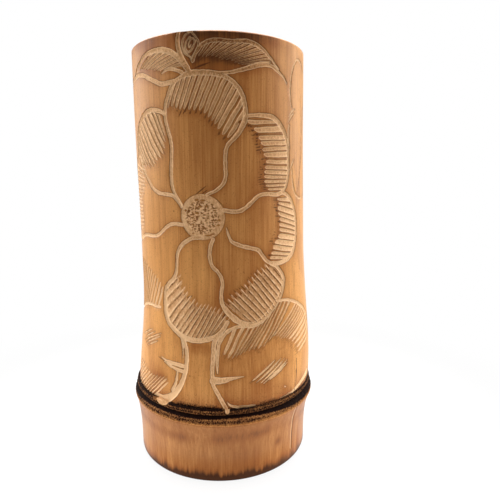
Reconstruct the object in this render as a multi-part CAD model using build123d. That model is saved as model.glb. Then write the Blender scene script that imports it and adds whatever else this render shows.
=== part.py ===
from build123d import *
from math import exp, sin
import os

# A vase made from one length of thick bamboo culm. The culm is sawn off between two nodes at the top,
# which leaves the mouth open, and a hand's breadth below a node at the bottom. The woody plate that grows
# across every node is the floor of the vase, and the short stub of culm below it is the foot. A large
# open flower with leaves and stems is gouged into the front.
# The frame has its origin on the table, under the middle of the node's band. Z is up, and the carved
# front faces -Y. Everything is in millimetres.

# The culm
HEIGHT = 250.0            # foot to rim
MOUTH_RADIUS = 52.2       # outside of the wall at the rim
WALL = 8.7                # wall at the mouth
BEND = 1.7                # how far the culm wanders sideways from a straight line
RIM_EDGE = 0.8            # sanded edges of the sawn rim

# The node, a swollen band that goes all round, with two lips and a narrow groove between them
NODE_HEIGHT = 42.5        # the groove above the table
NODE_BELOW = 5.5          # band below the groove
NODE_ABOVE = 4.0          # band above the groove
SHOULDER_SWELL = 4.5      # how much wider the culm is just above the node than at the mouth
SWELL_REACH = 32.5        # how far up the culm most of that swell is gone
SCAR_SWELL = 2.7          # how far the lower lip, the scar of the leaf sheath, stands out past that
LIP_SWELL = 1.4           # how far the upper lip stands out past the shoulder
GROOVE_DEPTH = 1.1        # groove below the upper lip

# The foot
FOOT_SWELL = 3.1          # how much wider the foot is than the mouth
FOOT_LAND = 3.0           # straight stretch at the very bottom
FOOT_EDGE = 1.4           # worn outer edge that the vase stands on
FOOT_BORE_EDGE = 0.6      # broken inner edge of the foot

# The plate across the node
PLATE_EDGE = 7.0          # thickness where it grows into the wall
PLATE_DISH = 1.6          # how far its upper face sinks towards the middle
PLATE_ARCH = 1.8          # how far its lower face rises towards the middle
PLATE_GAP = 0.7           # its upper face at the wall below the top of the band

# The waterproof coat that is brushed on inside the well and pools on the floor
COAT = 0.5                # thickness
COAT_POOL = 3.0           # radius of the pool where the floor meets the wall

# The carving on the front
GOUGE_WIDTH = 2.2         # across one gouged line
GOUGE_DEPTH = 0.7         # of the lines and of the flower's sunk middle
FLOWER_RADIUS = 12.4      # of that middle

BORE_RADIUS = MOUTH_RADIUS - WALL
SHOULDER_RADIUS = MOUTH_RADIUS + SHOULDER_SWELL
LIP_RADIUS = SHOULDER_RADIUS + LIP_SWELL
FOOT_RADIUS = MOUTH_RADIUS + FOOT_SWELL
BAND_BOTTOM = NODE_HEIGHT - NODE_BELOW
BAND_TOP = NODE_HEIGHT + NODE_ABOVE
RIM_SHOULDER = HEIGHT - RIM_EDGE
PLATE_TOP = BAND_TOP - PLATE_GAP
PLATE_BOTTOM = PLATE_TOP - PLATE_EDGE
COAT_RADIUS = BORE_RADIUS - COAT

# How the culm wanders between the band and the rim, at evenly spaced sections: its middle's sideways place
# as a share of BEND
WANDER_SHARES = (0.30, 0.82, 0.99, 0.75, 0.31, 0.06, -0.24, -0.47, -0.68, -0.82, -0.94)

# Evenly spaced sections of the foot from its land up to the band: radius as a share of the way from
# FOOT_RADIUS out to the band's lowest corner, and sideways place as a share of BEND
FOOT_SHARES = (
    (0.00, -0.30),
    (0.02, -0.32),
    (0.09, -0.34),
    (0.25, -0.34),
    (0.53, -0.26),
    (1.00, 0.00),
)

# Outline of the band: height as a share of its part below or above the groove, and radius as a share of
# the step from the shoulder out to the lip that the point belongs to
SCAR_SHARES = ((-1.00, 0.82), (-0.82, 1.00), (-0.50, 0.97), (-0.22, 0.80))
LIP_SHARES = ((0.22, 0.70), (0.42, 1.00), (0.68, 0.92), (1.00, 0.40))

# The carving's main lines. Each point is its arc to the right of the front's middle as a share of
# MOUTH_RADIUS, and its height as a share of HEIGHT.
FLOWER_SHARES = (-0.155, 0.620)
LINE_SHARES = (
    # top petal, left side and crown, then its right side
    ((-0.38, 0.646), (-0.48, 0.680), (-0.48, 0.736), (-0.49, 0.792), (-0.54, 0.832), (-0.49, 0.876),
     (-0.34, 0.912), (-0.10, 0.920), (0.15, 0.912), (0.28, 0.880), (0.33, 0.836)),
    ((-0.10, 0.668), (0.07, 0.690), (0.105, 0.736), (0.145, 0.774), (0.32, 0.822)),
    # two right-hand petals and the vein between them
    ((0.08, 0.635), (0.27, 0.635), (0.42, 0.660), (0.57, 0.669), (0.785, 0.672)),
    ((0.33, 0.833), (0.56, 0.836), (0.72, 0.825), (0.84, 0.795), (0.885, 0.752), (0.88, 0.708),
     (0.785, 0.672)),
    ((0.785, 0.672), (0.94, 0.652), (1.035, 0.612), (1.035, 0.564), (0.94, 0.527), (0.73, 0.511),
     (0.60, 0.512)),
    # lower right petal, its upper vein and its outline
    ((0.10, 0.598), (0.16, 0.565), (0.36, 0.550), (0.485, 0.534), (0.60, 0.512)),
    ((0.60, 0.511), (0.76, 0.480), (0.75, 0.452), (0.65, 0.420), (0.50, 0.392), (0.32, 0.376),
     (0.17, 0.390)),
    # bottom petal, its right vein, its left vein and its outline
    ((-0.05, 0.572), (-0.09, 0.540), (-0.06, 0.510), (0.02, 0.488), (0.02, 0.454), (0.03, 0.424),
     (0.11, 0.400), (0.19, 0.387)),
    ((-0.18, 0.577), (-0.345, 0.566), (-0.45, 0.538), (-0.475, 0.502), (-0.545, 0.473)),
    ((-0.545, 0.474), (-0.66, 0.428), (-0.64, 0.388), (-0.52, 0.360), (-0.26, 0.342), (-0.10, 0.350),
     (0.03, 0.372), (0.08, 0.386)),
    # left-hand petals
    ((-0.37, 0.602), (-0.54, 0.601), (-0.69, 0.580), (-0.84, 0.571), (-1.15, 0.560)),
    ((-0.38, 0.642), (-0.555, 0.668), (-0.72, 0.674), (-0.91, 0.710), (-1.09, 0.760)),
    ((-0.54, 0.836), (-0.75, 0.851), (-0.94, 0.836), (-1.07, 0.812), (-1.12, 0.776), (-1.09, 0.754)),
    ((-0.75, 0.405), (-0.96, 0.404), (-1.15, 0.393)),
    # the two leaves at the top
    ((-1.15, 0.930), (-0.96, 0.934), (-0.77, 0.922), (-0.575, 0.905), (-0.41, 0.904)),
    ((-1.09, 0.934), (-0.92, 0.960), (-0.73, 0.973), (-0.52, 0.972), (-0.345, 0.952), (-0.235, 0.925)),
    ((-0.20, 0.945), (-0.105, 0.974), (0.06, 0.984), (0.36, 0.985), (0.54, 0.972), (0.74, 0.939)),
    ((-0.29, 0.920), (-0.10, 0.923), (0.10, 0.921), (0.29, 0.929), (0.575, 0.944), (0.73, 0.934),
     (0.86, 0.914)),
    # the stems with a thorn each, and the leaf at the lower right
    ((-0.43, 0.348), (-0.365, 0.300), (-0.385, 0.260), (-0.455, 0.222), (-0.575, 0.198)),
    ((-0.37, 0.276), (-0.53, 0.279), (-0.69, 0.280)),
    ((-0.04, 0.355), (-0.08, 0.300), (-0.07, 0.244), (0.055, 0.198)),
    ((-0.07, 0.254), (0.08, 0.256), (0.24, 0.260)),
    ((-0.02, 0.336), (0.09, 0.368), (0.27, 0.374)),
    ((0.65, 0.422), (0.86, 0.417), (1.05, 0.399), (1.15, 0.387)),
)


def disc(radius, height, sideways_share=0.0):
    """A round level section of the culm, with its middle moved sideways by a share of the bend."""
    return Pos(sideways_share * BEND, 0, height) * Circle(radius)


def column(radius, low, high):
    """A plain cylinder on the frame's Z axis between two heights."""
    return Pos(0, 0, low) * Cylinder(radius, high - low, align=(Align.CENTER, Align.CENTER, Align.MIN))


def turned(*outline):
    """A solid turned about Z from lines that close, in radius and height."""
    return revolve(Plane.XZ * make_face(Curve() + list(outline)), Axis.Z)


def dish(radius, height, rise):
    """An arc from the axis to a radius that ends at a height there, and rises by that much on the way."""
    ball_radius = (radius**2 + rise**2) / (2 * rise)
    return RadiusArc((0, height - rise), (radius, height), ball_radius)


def even_heights(low, high, sections):
    """Heights of that many evenly spaced sections, both ends among them."""
    return [low + (high - low) * section / (sections - 1) for section in range(sections)]


def culm_radius(height):
    """Outside of the upper culm: the mouth's radius and a swell that fades upwards as a bell curve does."""
    return MOUTH_RADIUS + SHOULDER_SWELL * exp(-(((height - BAND_TOP) / SWELL_REACH) ** 2) / 2)


def halved_disc(radius, height, sideways_share):
    """A section like disc's with its edge in two halves, which keeps a loft through many of them light."""
    middle = (sideways_share * BEND, 0, height)
    return make_face([CenterArc(middle, radius, 0, 180), CenterArc(middle, radius, 180, 180)])


def culm_column(inset=0.0):
    """The upper culm without its bore, or what is left of it when its skin is taken off to a depth."""
    heights = even_heights(BAND_TOP, RIM_SHOULDER, len(WANDER_SHARES))
    sections = zip(heights, WANDER_SHARES)
    return loft([halved_disc(culm_radius(height) - inset, height, share) for height, share in sections])


def seen_from_front(arc, height):
    """Sideways place and height of a point that is marked on the skin by its arc and height."""
    spans = len(WANDER_SHARES) - 1
    span, share = divmod(spans * (height - BAND_TOP) / (RIM_SHOULDER - BAND_TOP), 1)
    below = max(0, min(int(span), spans - 1))
    middle_share = WANDER_SHARES[below] + (WANDER_SHARES[below + 1] - WANDER_SHARES[below]) * share
    return middle_share * BEND + culm_radius(height) * sin(arc / MOUTH_RADIUS), height


def gouged_line(points):
    """A ribbon of the gouge's width along a smooth line, as it looks from the front."""
    marks = [Vector(arc_share * MOUTH_RADIUS, height_share * HEIGHT) for arc_share, height_share in points]
    headings = [after - before for before, after in zip(marks[:1] + marks, marks[1:] + marks[-1:])]
    sides = [Vector(-heading.Y, heading.X).normalized() * (GOUGE_WIDTH / 2) for heading in headings]
    left = [seen_from_front(mark.X + side.X, mark.Y + side.Y) for mark, side in zip(marks, sides)]
    right = [seen_from_front(mark.X - side.X, mark.Y - side.Y) for mark, side in zip(marks, sides)]
    ends = [Line(left[0], right[0]), Line(left[-1], right[-1])]
    return make_face([Spline(*left), Spline(*right), *ends])


def drawn_carving():
    """All that is carved, as it looks from the front: the flower's round middle and each gouged line."""
    arc_share, height_share = FLOWER_SHARES
    flower = seen_from_front(arc_share * MOUTH_RADIUS, height_share * HEIGHT)
    return [Pos(*flower) * Circle(FLOWER_RADIUS), *(gouged_line(points) for points in LINE_SHARES)]


def carved_column():
    """The column with the carving cut straight in, and then the core put back that no gouge reaches."""
    wood = culm_column()
    for shape in drawn_carving():
        wood = wood - extrude(Plane.XZ * shape, SHOULDER_RADIUS + BEND)
    return wood + culm_column(GOUGE_DEPTH)


def upper_culm():
    """The internode between the band and the rim: carved column, the sanded edge on top, and the bore."""
    top_share = WANDER_SHARES[-1]
    edge = [disc(MOUTH_RADIUS, RIM_SHOULDER, top_share), disc(MOUTH_RADIUS - RIM_EDGE, HEIGHT, top_share)]
    wood = carved_column() + loft(edge, ruled=True) - column(BORE_RADIUS, BAND_TOP, HEIGHT)
    bore_mouth = wood.edges().filter_by(GeomType.CIRCLE).group_by(Axis.Z)[-1].sort_by(SortBy.LENGTH)[0]
    return chamfer(bore_mouth, RIM_EDGE)


def node_band():
    """The swollen band of the node, from the wall's bore out to its two lips."""
    below = [
        (SHOULDER_RADIUS + out_share * SCAR_SWELL, NODE_HEIGHT + up_share * NODE_BELOW)
        for up_share, out_share in SCAR_SHARES
    ]
    above = [
        (SHOULDER_RADIUS + out_share * LIP_SWELL, NODE_HEIGHT + up_share * NODE_ABOVE)
        for up_share, out_share in LIP_SHARES
    ]
    groove = (LIP_RADIUS - GROOVE_DEPTH, NODE_HEIGHT)
    corners = [(BORE_RADIUS, BAND_BOTTOM), *below, groove, *above, (BORE_RADIUS, BAND_TOP)]
    return turned(Polyline(*corners, close=True))


def foot_culm():
    """The stub of the next internode, open underneath, which is what the vase stands on."""
    flare = SHOULDER_RADIUS + SCAR_SHARES[0][1] * SCAR_SWELL - FOOT_RADIUS
    heights = even_heights(FOOT_LAND, BAND_BOTTOM, len(FOOT_SHARES))
    wood = loft([
        disc(FOOT_RADIUS + out_share * flare, height, side_share)
        for height, (out_share, side_share) in zip(heights, FOOT_SHARES)
    ])
    land = Pos(FOOT_SHARES[0][-1] * BEND, 0, 0) * column(FOOT_RADIUS, 0, FOOT_LAND)
    land = fillet(land.edges().group_by(Axis.Z)[0], FOOT_EDGE)
    wood = wood + land - column(BORE_RADIUS, 0, BAND_BOTTOM)
    bore_foot = wood.edges().filter_by(GeomType.CIRCLE).group_by(Axis.Z)[0].sort_by(SortBy.LENGTH)[0]
    return chamfer(bore_foot, FOOT_BORE_EDGE)


def floor_plate():
    """The plate across the node, dished above and arched below, so that it is thinnest in the middle."""
    return turned(
        dish(BORE_RADIUS, PLATE_TOP, PLATE_DISH),
        Line((BORE_RADIUS, PLATE_TOP), (BORE_RADIUS, PLATE_BOTTOM)),
        dish(BORE_RADIUS, PLATE_BOTTOM, -PLATE_ARCH),
        Line((0, PLATE_BOTTOM + PLATE_ARCH), (0, PLATE_TOP - PLATE_DISH)),
    )


def sealing_coat():
    """The coat on the bore and the floor, a thin cup with a rounded inner corner."""
    cup = turned(
        dish(BORE_RADIUS, PLATE_TOP, PLATE_DISH),
        Polyline(
            (BORE_RADIUS, PLATE_TOP),
            (BORE_RADIUS, RIM_SHOULDER),
            (COAT_RADIUS, RIM_SHOULDER),
            (COAT_RADIUS, PLATE_TOP + COAT),
        ),
        dish(COAT_RADIUS, PLATE_TOP + COAT, PLATE_DISH),
        Line((0, PLATE_TOP + COAT - PLATE_DISH), (0, PLATE_TOP - PLATE_DISH)),
    )
    circles = cup.edges().filter_by(GeomType.CIRCLE)
    inner_circles = circles.filter_by(lambda edge: edge.radius < BORE_RADIUS - COAT / 2)
    return fillet(inner_circles.sort_by(Axis.Z)[0], COAT_POOL)


if __name__ == "__main__":
    os.makedirs("parts", exist_ok=True)
    for make in (upper_culm, node_band, foot_culm, floor_plate, sealing_coat):
        export_step(make(), f"parts/{make.__name__}.step")
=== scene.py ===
import bpy
import numpy as np
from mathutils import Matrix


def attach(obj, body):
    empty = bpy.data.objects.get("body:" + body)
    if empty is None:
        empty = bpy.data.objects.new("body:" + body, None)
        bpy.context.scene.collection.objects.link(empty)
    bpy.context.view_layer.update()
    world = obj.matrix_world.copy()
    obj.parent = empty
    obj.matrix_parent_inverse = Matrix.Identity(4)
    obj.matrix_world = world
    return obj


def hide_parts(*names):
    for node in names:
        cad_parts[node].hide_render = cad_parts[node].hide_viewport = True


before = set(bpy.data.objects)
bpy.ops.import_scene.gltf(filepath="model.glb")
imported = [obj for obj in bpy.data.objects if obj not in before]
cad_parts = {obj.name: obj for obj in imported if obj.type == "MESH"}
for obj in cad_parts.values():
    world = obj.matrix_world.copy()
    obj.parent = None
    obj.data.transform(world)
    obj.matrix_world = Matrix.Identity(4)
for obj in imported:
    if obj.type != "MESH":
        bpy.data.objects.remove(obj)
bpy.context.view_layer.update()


# The upper culm, its form
# One internode of thick bamboo, from the node's band up to the sawn rim. It is sawn square, sanded, and
# left round outside. Lengths are in millimetres, as a carver would mark them, until they go in the mesh.
MM = 0.001
CULM_LOW = 46.5
CULM_HIGH = 250.0
MOUTH_RADIUS = 52.2
BORE_RADIUS = 43.5
SHOULDER_SWELL = 4.5
SWELL_REACH = 32.5
BEND = 1.7
WANDER_SHARES = (0.30, 0.82, 0.99, 0.75, 0.31, 0.06, -0.24, -0.47, -0.68, -0.82, -0.94)
RIM_EDGE = 0.8
MARKING_RADIUS = 52.3     # the carver's sheet is wrapped round this, so sideways places are arcs of it


def smooth_path(points, steps=8):
    """Catmull-Rom curve through the points: each span is the cubic that leaves and enters along the
    direction between its neighbours, and the ends repeat their own point."""
    p = np.asarray(points, float)
    p = np.concatenate([p[:1], p, p[-1:]])
    t = np.linspace(0, 1, steps, endpoint=False)[:, None]
    spans = [
        0.5 * (2 * b + (c - a) * t + (2 * a - 5 * b + 4 * c - d) * t**2 + (3 * b - a - 3 * c + d) * t**3)
        for a, b, c, d in zip(p, p[1:], p[2:], p[3:])
    ]
    return np.concatenate(spans + [p[-1:]])


WANDER = smooth_path([
    (CULM_LOW + (CULM_HIGH - RIM_EDGE - CULM_LOW) * step / (len(WANDER_SHARES) - 1), share * BEND)
    for step, share in enumerate(WANDER_SHARES)
])


def culm_radius(z):
    """Mouth radius plus a swell that fades up from the node as a bell curve."""
    return MOUTH_RADIUS + SHOULDER_SWELL * np.exp(-(((z - CULM_LOW) / SWELL_REACH) ** 2) / 2)


def culm_middle(z):
    """Sideways place of the culm's middle at a height, read off its wandering line."""
    return np.interp(z, WANDER[:, 0], WANDER[:, 1])


def knit(fine, k):
    """Polygons of a wall that closes on itself both ways, over cells of k by k steps. A fine cell is k by k
    small quads. A plain cell is one polygon, which takes in every step along a side that it shares with a
    fine cell, so that no seam opens. Vertices are numbered row by row on the full grid of steps."""
    rows, columns = fine.shape[0] * k, fine.shape[1] * k

    def number(j, i):
        return (j % rows) * columns + i % columns

    j, i = (np.repeat(index * k, k * k) for index in np.nonzero(fine))
    dj, di = (np.tile(step, fine.sum()) for step in np.divmod(np.arange(k * k), k))
    j, i = j + dj, i + di
    polygons = [np.stack([number(j, i), number(j, i + 1), number(j + 1, i + 1), number(j + 1, i)], 1)]
    sides = [np.roll(fine, 1, 0), np.roll(fine, -1, 1), np.roll(fine, -1, 0), np.roll(fine, 1, 1)]
    for code in range(16):
        split = [bool(code >> side & 1) for side in range(4)]
        match = ~fine & np.all([side == wanted for side, wanted in zip(sides, split)], axis=0)
        steps = [range(0, k, 1 if side else k) for side in split]
        ring = [(0, d) for d in steps[0]] + [(d, k) for d in steps[1]]
        ring += [(k, k - d) for d in steps[2]] + [(k - d, 0) for d in steps[3]]
        dj, di = np.array(ring).T
        j, i = np.nonzero(match)
        polygons.append(number(j[:, None] * k + dj, i[:, None] * k + di))
    return polygons


def make_piece(name, points, polygons, materials, marks=None, uses=None):
    """A mesh of points in millimetres and arrays of polygons. Points that no polygon uses are dropped. marks
    are numbers per point, and uses gives the material of each array's polygons, by number per polygon."""
    flat = np.concatenate([group.ravel() for group in polygons])
    sizes = np.concatenate([np.full(len(group), group.shape[1]) for group in polygons])
    used, flat = np.unique(flat, return_inverse=True)
    mesh = bpy.data.meshes.new(name)
    mesh.vertices.add(len(used))
    mesh.vertices.foreach_set("co", (points[used] * MM).astype(np.float32).ravel())
    mesh.loops.add(len(flat))
    mesh.loops.foreach_set("vertex_index", flat.astype(np.int32).ravel())
    mesh.polygons.add(len(sizes))
    mesh.polygons.foreach_set("loop_start", (np.cumsum(sizes) - sizes).astype(np.int32))
    mesh.polygons.foreach_set("use_smooth", np.ones(len(sizes), bool))
    for material in materials:
        mesh.materials.append(material)
    if uses is not None:
        mesh.polygons.foreach_set("material_index", uses.astype(np.int32))
    for mark, values in (marks or {}).items():
        layer = mesh.attributes.new(mark, "FLOAT", "POINT")
        layer.data.foreach_set("value", values.ravel()[used].astype(np.float32))
    mesh.update(calc_edges=True)
    mesh.validate()
    piece = bpy.data.objects.new(name, mesh)
    bpy.context.scene.collection.objects.link(piece)
    return piece


# The carved flower
# A carver drew a large open flower on the skin, then cut its outlines with a wide gouge and shaded its
# petals with rows of short strokes. Places are marked as arc to the right of the front's middle, and height.
DISC = (-8.0, 155.0, 12.4)
LINES = {
    # each gouged line's widths at even shares of its way, and the points that it runs through
    # the veins and outlines that run out from the disc
    "top petal, left": (1.9, 2.2, 2.0, 2.8, (
        (-20.0, 161.5), (-22.5, 165.5), (-24.8, 170), (-25.6, 176), (-25.2, 184), (-24.5, 192), (-25.4, 198),
        (-27, 203), (-28.1, 208), (-27.6, 213), (-25.5, 219), (-22.5, 224.1), (-18, 227.3), (-12, 228.7),
        (-5, 229.1), (3, 228.4), (8, 226.9), (12, 223.7), (14.8, 220), (16.6, 214.5), (17.2, 209),
        (16.6, 205))),
    "top petal, right": (1.6, 2.0, 2.0, 3.0, (
        (-5, 167), (0, 169.3), (3.7, 172.5), (5.6, 177), (5.5, 184), (5.9, 190), (7.6, 193.6), (11, 197),
        (14, 200.8), (16.5, 205.5))),
    "right petals' vein": (2.2, 2.2, 2.0, 2.6, (
        (4, 158.8), (10, 158), (14, 158.8), (18, 161.5), (22, 165), (25.5, 166.9), (30, 167.2), (36, 166.8),
        (41, 168))),
    "lower right vein": (0.6, 2.2, 2.2, 2.0, (
        (5, 149.5), (6.3, 144.5), (8.5, 141.2), (13, 139.3), (19, 137.6), (22.8, 136.3), (25.3, 133.5),
        (28, 130), (31.5, 128))),
    "bottom vein": (2.0, 1.9, 1.9, 3.0, (
        (-2.5, 143), (-3.9, 139), (-4.6, 135), (-4.3, 131), (-3, 127.5), (-0.5, 125), (1.2, 122), (1.8, 118),
        (1, 113.5), (0.8, 109.5), (1.5, 106), (3.5, 103), (6, 100.2), (10, 96.8))),
    "bottom petal, left": (2.2, 2.2, 1.6, 2.4, (
        (-9.5, 144.2), (-14, 143.4), (-18, 141.5), (-21.5, 138.5), (-23.6, 134.5), (-24.4, 130),
        (-24.9, 125.5), (-26, 121.5), (-28.5, 118.3))),
    "left vein": (2.0, 1.9, 1.9, 1.8, (
        (-19.5, 150.4), (-24, 151), (-28, 150.3), (-32, 148), (-36, 145), (-39.5, 143.3), (-44, 142.8),
        (-50, 142.8), (-55, 142), (-60, 140))),
    "upper left vein": (1.9, 2.1, 2.0, 2.2, (
        (-20, 160.5), (-22.3, 163.8), (-25, 166.2), (-29, 167), (-34, 167.5), (-37.5, 168.5), (-41, 170.5),
        (-44.5, 174), (-47.5, 177.5), (-50.5, 181), (-53.5, 184.5), (-57, 190))),
    # the outlines of the petals
    "upper right petal": (1.6, 3.0, 2.4, 1.6, (
        (17, 208.2), (23, 208.9), (29, 209), (33.5, 208.4), (37.5, 206.3), (41.2, 202.8), (44, 198.8),
        (45.6, 194), (46.3, 188), (46.3, 182), (46, 177), (44.6, 172.6), (42.5, 169.7), (39.5, 168))),
    "right petal": (2.2, 2.6, 3.0, 2.4, (
        (41, 167.8), (45, 166.3), (49, 163), (52, 158.5), (54, 153), (54.6, 147), (54, 141), (52, 135.5),
        (49, 131.7), (44, 129), (38, 127.7), (32, 128))),
    "lower right petal": (1.8, 2.8, 3.2, 3.0, (
        (31, 127.8), (34.5, 126.3), (37.3, 123.5), (39.6, 120), (40.2, 117), (39.2, 113), (37, 109),
        (34, 105), (30, 101.5), (26, 98), (21.5, 95.2), (16.5, 94), (12, 95.6), (8, 98), (5, 101),
        (2.6, 104.5))),
    "bottom petal": (2.4, 3.0, 3.0, 2.2, (
        (-28, 118.6), (-31, 116.4), (-33.6, 112.5), (-34.4, 107), (-34.3, 101.5), (-33.5, 97), (-31, 93),
        (-27, 90), (-23, 87.4), (-18.5, 86), (-13.5, 85.5), (-8.5, 86.3), (-5, 87.6), (-1.5, 89.5),
        (1.5, 93), (3.6, 96.6))),
    "lower left petal": (1.6, 2.0, 2.4, 2.4, (
        (-39, 101.3), (-44, 101), (-50, 101), (-55, 100), (-60, 98.3), (-66, 95.5), (-73, 93), (-81, 94),
        (-87, 99), (-90, 108), (-89, 118), (-84, 127), (-76, 134), (-67, 138.5), (-60, 140))),
    "left petal": (2.0, 2.6, 2.6, 2.0, (
        (-57, 189), (-62, 186.5), (-67.5, 181.5), (-71.5, 174), (-73, 165), (-72, 155), (-68.5, 146.5),
        (-63, 141.5), (-58.5, 140.8))),
    "upper left petal": (2.2, 2.8, 2.8, 2.0, (
        (-28, 209), (-30, 210.6), (-34, 212), (-39, 212.7), (-44, 211.5), (-49, 209), (-53, 206),
        (-56, 203), (-58, 199), (-58.6, 194), (-57, 188.5))),
    # the two leaves at the top and the bud between them
    "left leaf, below": (2.2, 2.4, 2.4, 2.4, (
        (-78, 228), (-72, 230.5), (-65, 231.4), (-60, 231.6), (-55, 232.4), (-50, 232.4), (-45, 231.6),
        (-40, 229.6), (-35, 227.4), (-30, 225.3), (-25, 225.4), (-21.5, 225.9))),
    "left leaf, above": (1.0, 2.4, 3.0, 2.6, (
        (-57, 232.5), (-54.5, 235), (-52, 237), (-48, 239), (-43, 241.2), (-38, 242.3), (-32, 242.6),
        (-27, 242), (-22, 240), (-18, 237), (-15, 233.5), (-12.3, 230.2))),
    "left leaf, fold": (0.8, 1.6, 1.8, 2.0, (
        (-29, 230.6), (-25, 232.3), (-20, 231.5), (-16.5, 230))),
    "right leaf, above": (1.8, 2.4, 2.4, 0.8, (
        (-10.3, 235.3), (-8.5, 239), (-5.5, 242.6), (-2, 244.6), (3, 245.2), (9, 244.7), (14, 245.2),
        (19, 245.4), (24, 244.2), (28, 242), (32, 239), (35.5, 236), (38.5, 233.8))),
    "right leaf, below": (2.4, 1.6, 2.8, 0.8, (
        (-15, 229), (-10, 229.9), (-5, 230), (0, 229.6), (5, 229.3), (10, 229.9), (15, 231.2), (20, 232.8),
        (25, 234.5), (30, 235.2), (34, 234.5), (38, 232.6), (42, 230.4), (45, 227.6))),
    "bud, left side": (2.0, 2.6, 2.4, 1.8, (
        (-17.6, 249.4), (-18.4, 246), (-18.1, 242.5), (-17, 239), (-15, 235.5), (-12.8, 232.3))),
    "bud, outer ring": (0.9, 1.3, 1.3, 0.8, (
        (-11, 249.4), (-14, 248), (-15.6, 245), (-15.7, 242), (-14.2, 239.2), (-11.6, 237.2),
        (-10.6, 234.6))),
    "bud, right side": (1.2, 1.2, 1.2, 0.8, (
        (-10.6, 249.3), (-8.3, 246.8), (-7, 244), (-7.8, 241), (-9.6, 238.6), (-11, 236.4))),
    "bud, curl": (0.9, 1.2, 1.2, 0.8, (
        (-11.4, 247), (-13.6, 244.6), (-14, 241.4), (-12.2, 239.6), (-10.2, 241.6), (-8.9, 244.8),
        (-10.6, 246.2), (-12.2, 243.6), (-12, 241.8), (-10.8, 243.4))),
    # the two stems with their thorns
    "left stem": (2.2, 2.3, 2.6, 3.8, 7.0, (
        (-22.5, 87), (-20.8, 84), (-19.5, 80), (-19, 75), (-19.2, 70), (-20, 65), (-21.4, 60), (-23.6, 55.5),
        (-26.4, 51.6), (-30, 48.6), (-33.5, 46.6), (-38, 45.6))),
    "left stem, inner": (1.4, 0.9, 0.7, 0.4, ((-23, 86.5), (-22, 82), (-21.4, 78), (-21.4, 74.5))),
    "left stem, branch": (0.8, 1.6, 1.6, 2.0, ((-24.6, 67), (-24.7, 63), (-25.5, 58.5), (-27.3, 54))),
    "left thorn, upper": (2.2, 2.4, 2.0, 0.4, ((-19.5, 69.6), (-26, 70.2), (-32, 70.6), (-37, 72))),
    "left thorn, lower": (2.4, 2.0, 1.3, 0.4, ((-19.5, 66.6), (-25, 67.2), (-30, 68.4), (-34.5, 70))),
    "right stem": (2.6, 2.2, 2.0, 2.2, (
        (-2, 88.8), (-3.6, 85), (-4, 80), (-4.3, 75), (-4.5, 70), (-4.3, 65), (-3.8, 61), (-2.3, 57.5),
        (-0.5, 54.3), (1.5, 50.5), (3.4, 46.6))),
    "right stem, inner": (1.4, 1.8, 1.8, 0.5, ((-0.6, 88), (-1.6, 81), (-2, 74), (-1.7, 67.3))),
    "right thorn": (4.4, 3.4, 1.6, 0.3, ((-3.5, 63.2), (1.5, 63.4), (6.5, 64.5), (12.5, 65))),
    # the leaf at the lower right, and what shows of the leaves at the edges
    "lower right leaf, left": (0.8, 2.0, 2.0, 1.6, (
        (-1.8, 79.5), (-1, 84), (1, 88.5), (4.5, 92), (9.5, 93.8), (14, 93.6))),
    "lower right leaf, top": (1.6, 2.0, 2.4, 2.2, (
        (34, 105.6), (40, 105.4), (45, 104.2), (50, 102.3), (55, 99.8), (60, 96.7), (65, 92.8), (70, 87),
        (74, 78), (75.5, 68), (73, 58), (68, 52.5), (62, 50.8))),
    "lower right leaf, tip": (4.2, 3.0, 1.8, 1.2, (
        (66, 51.8), (60, 50.9), (54, 49.4), (48, 48), (43, 46.9), (35.5, 46.6))),
    "right stem, shoot": (0.5, 1.7, 1.6, 0.5, (
        (3.8, 50.8), (5.5, 48.6), (8.5, 47.4), (13, 47), (19.5, 47.1))),
    "side leaf, upper": (0.5, 1.3, 1.3, 0.8, (
        (71, 236), (66, 240.5), (61, 242.2), (57, 242.3), (54, 240), (51.5, 236.5), (49.6, 232),
        (48.6, 226), (48.8, 220), (50.3, 215.5))),
    "side leaf, nick": (0.5, 1.1, 1.1, 0.5, ((47.3, 209.8), (50.5, 213), (54, 214.8))),
    "side leaf, second nick": (0.5, 1.1, 1.1, 0.5, ((46.8, 207), (50, 210.5), (53.3, 212.7))),
    "side leaf, edge": (0.8, 1.2, 1.2, 0.5, ((47.6, 205.5), (46.7, 201), (47, 196), (48.3, 192))),
    "side leaf, middle": (0.5, 1.1, 1.1, 0.5, ((52.6, 186.5), (50, 183.2), (48, 180.6))),
    "side leaf, lower": (0.6, 1.3, 1.3, 0.6, (
        (50.3, 181), (50.6, 176), (51.8, 171), (54, 167), (57.5, 164.8), (62, 163.6), (68, 164.5))),
    "side leaf, far edge": (0.6, 1.3, 1.3, 0.6, (
        (68, 164.5), (74, 168), (78, 175), (80, 184), (79.5, 194), (76, 204), (72, 212), (71, 220),
        (72.5, 228), (71, 236))),
    "side leaf, midrib": (0.5, 1.1, 1.1, 0.5, ((57, 168), (62, 180), (65, 194), (65.5, 208), (63, 224))),
}
PATCH_STROKES = (
    # start, end and width of the free strokes of two shaded patches, and of a chip below the first
    ((16, 61), (31, 71.5), 1.3), ((19.3, 60.3), (35.5, 71.6), 1.4), ((21.8, 59.6), (38, 70.6), 1.3),
    ((23.8, 59.2), (40, 69.3), 1.4), ((26.5, 59.8), (40.3, 67.8), 1.3),
    ((38, 53.4), (39.2, 52.6), 0.8),
    ((-58, 76.2), (-38, 85.8), 0.8), ((-55, 75.4), (-38.6, 84), 0.9), ((-52.5, 74.6), (-40.5, 80.8), 0.8),
    ((-56, 79.2), (-44, 85.4), 0.8), ((-60, 79.8), (-47.5, 86), 0.7),
)
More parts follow.
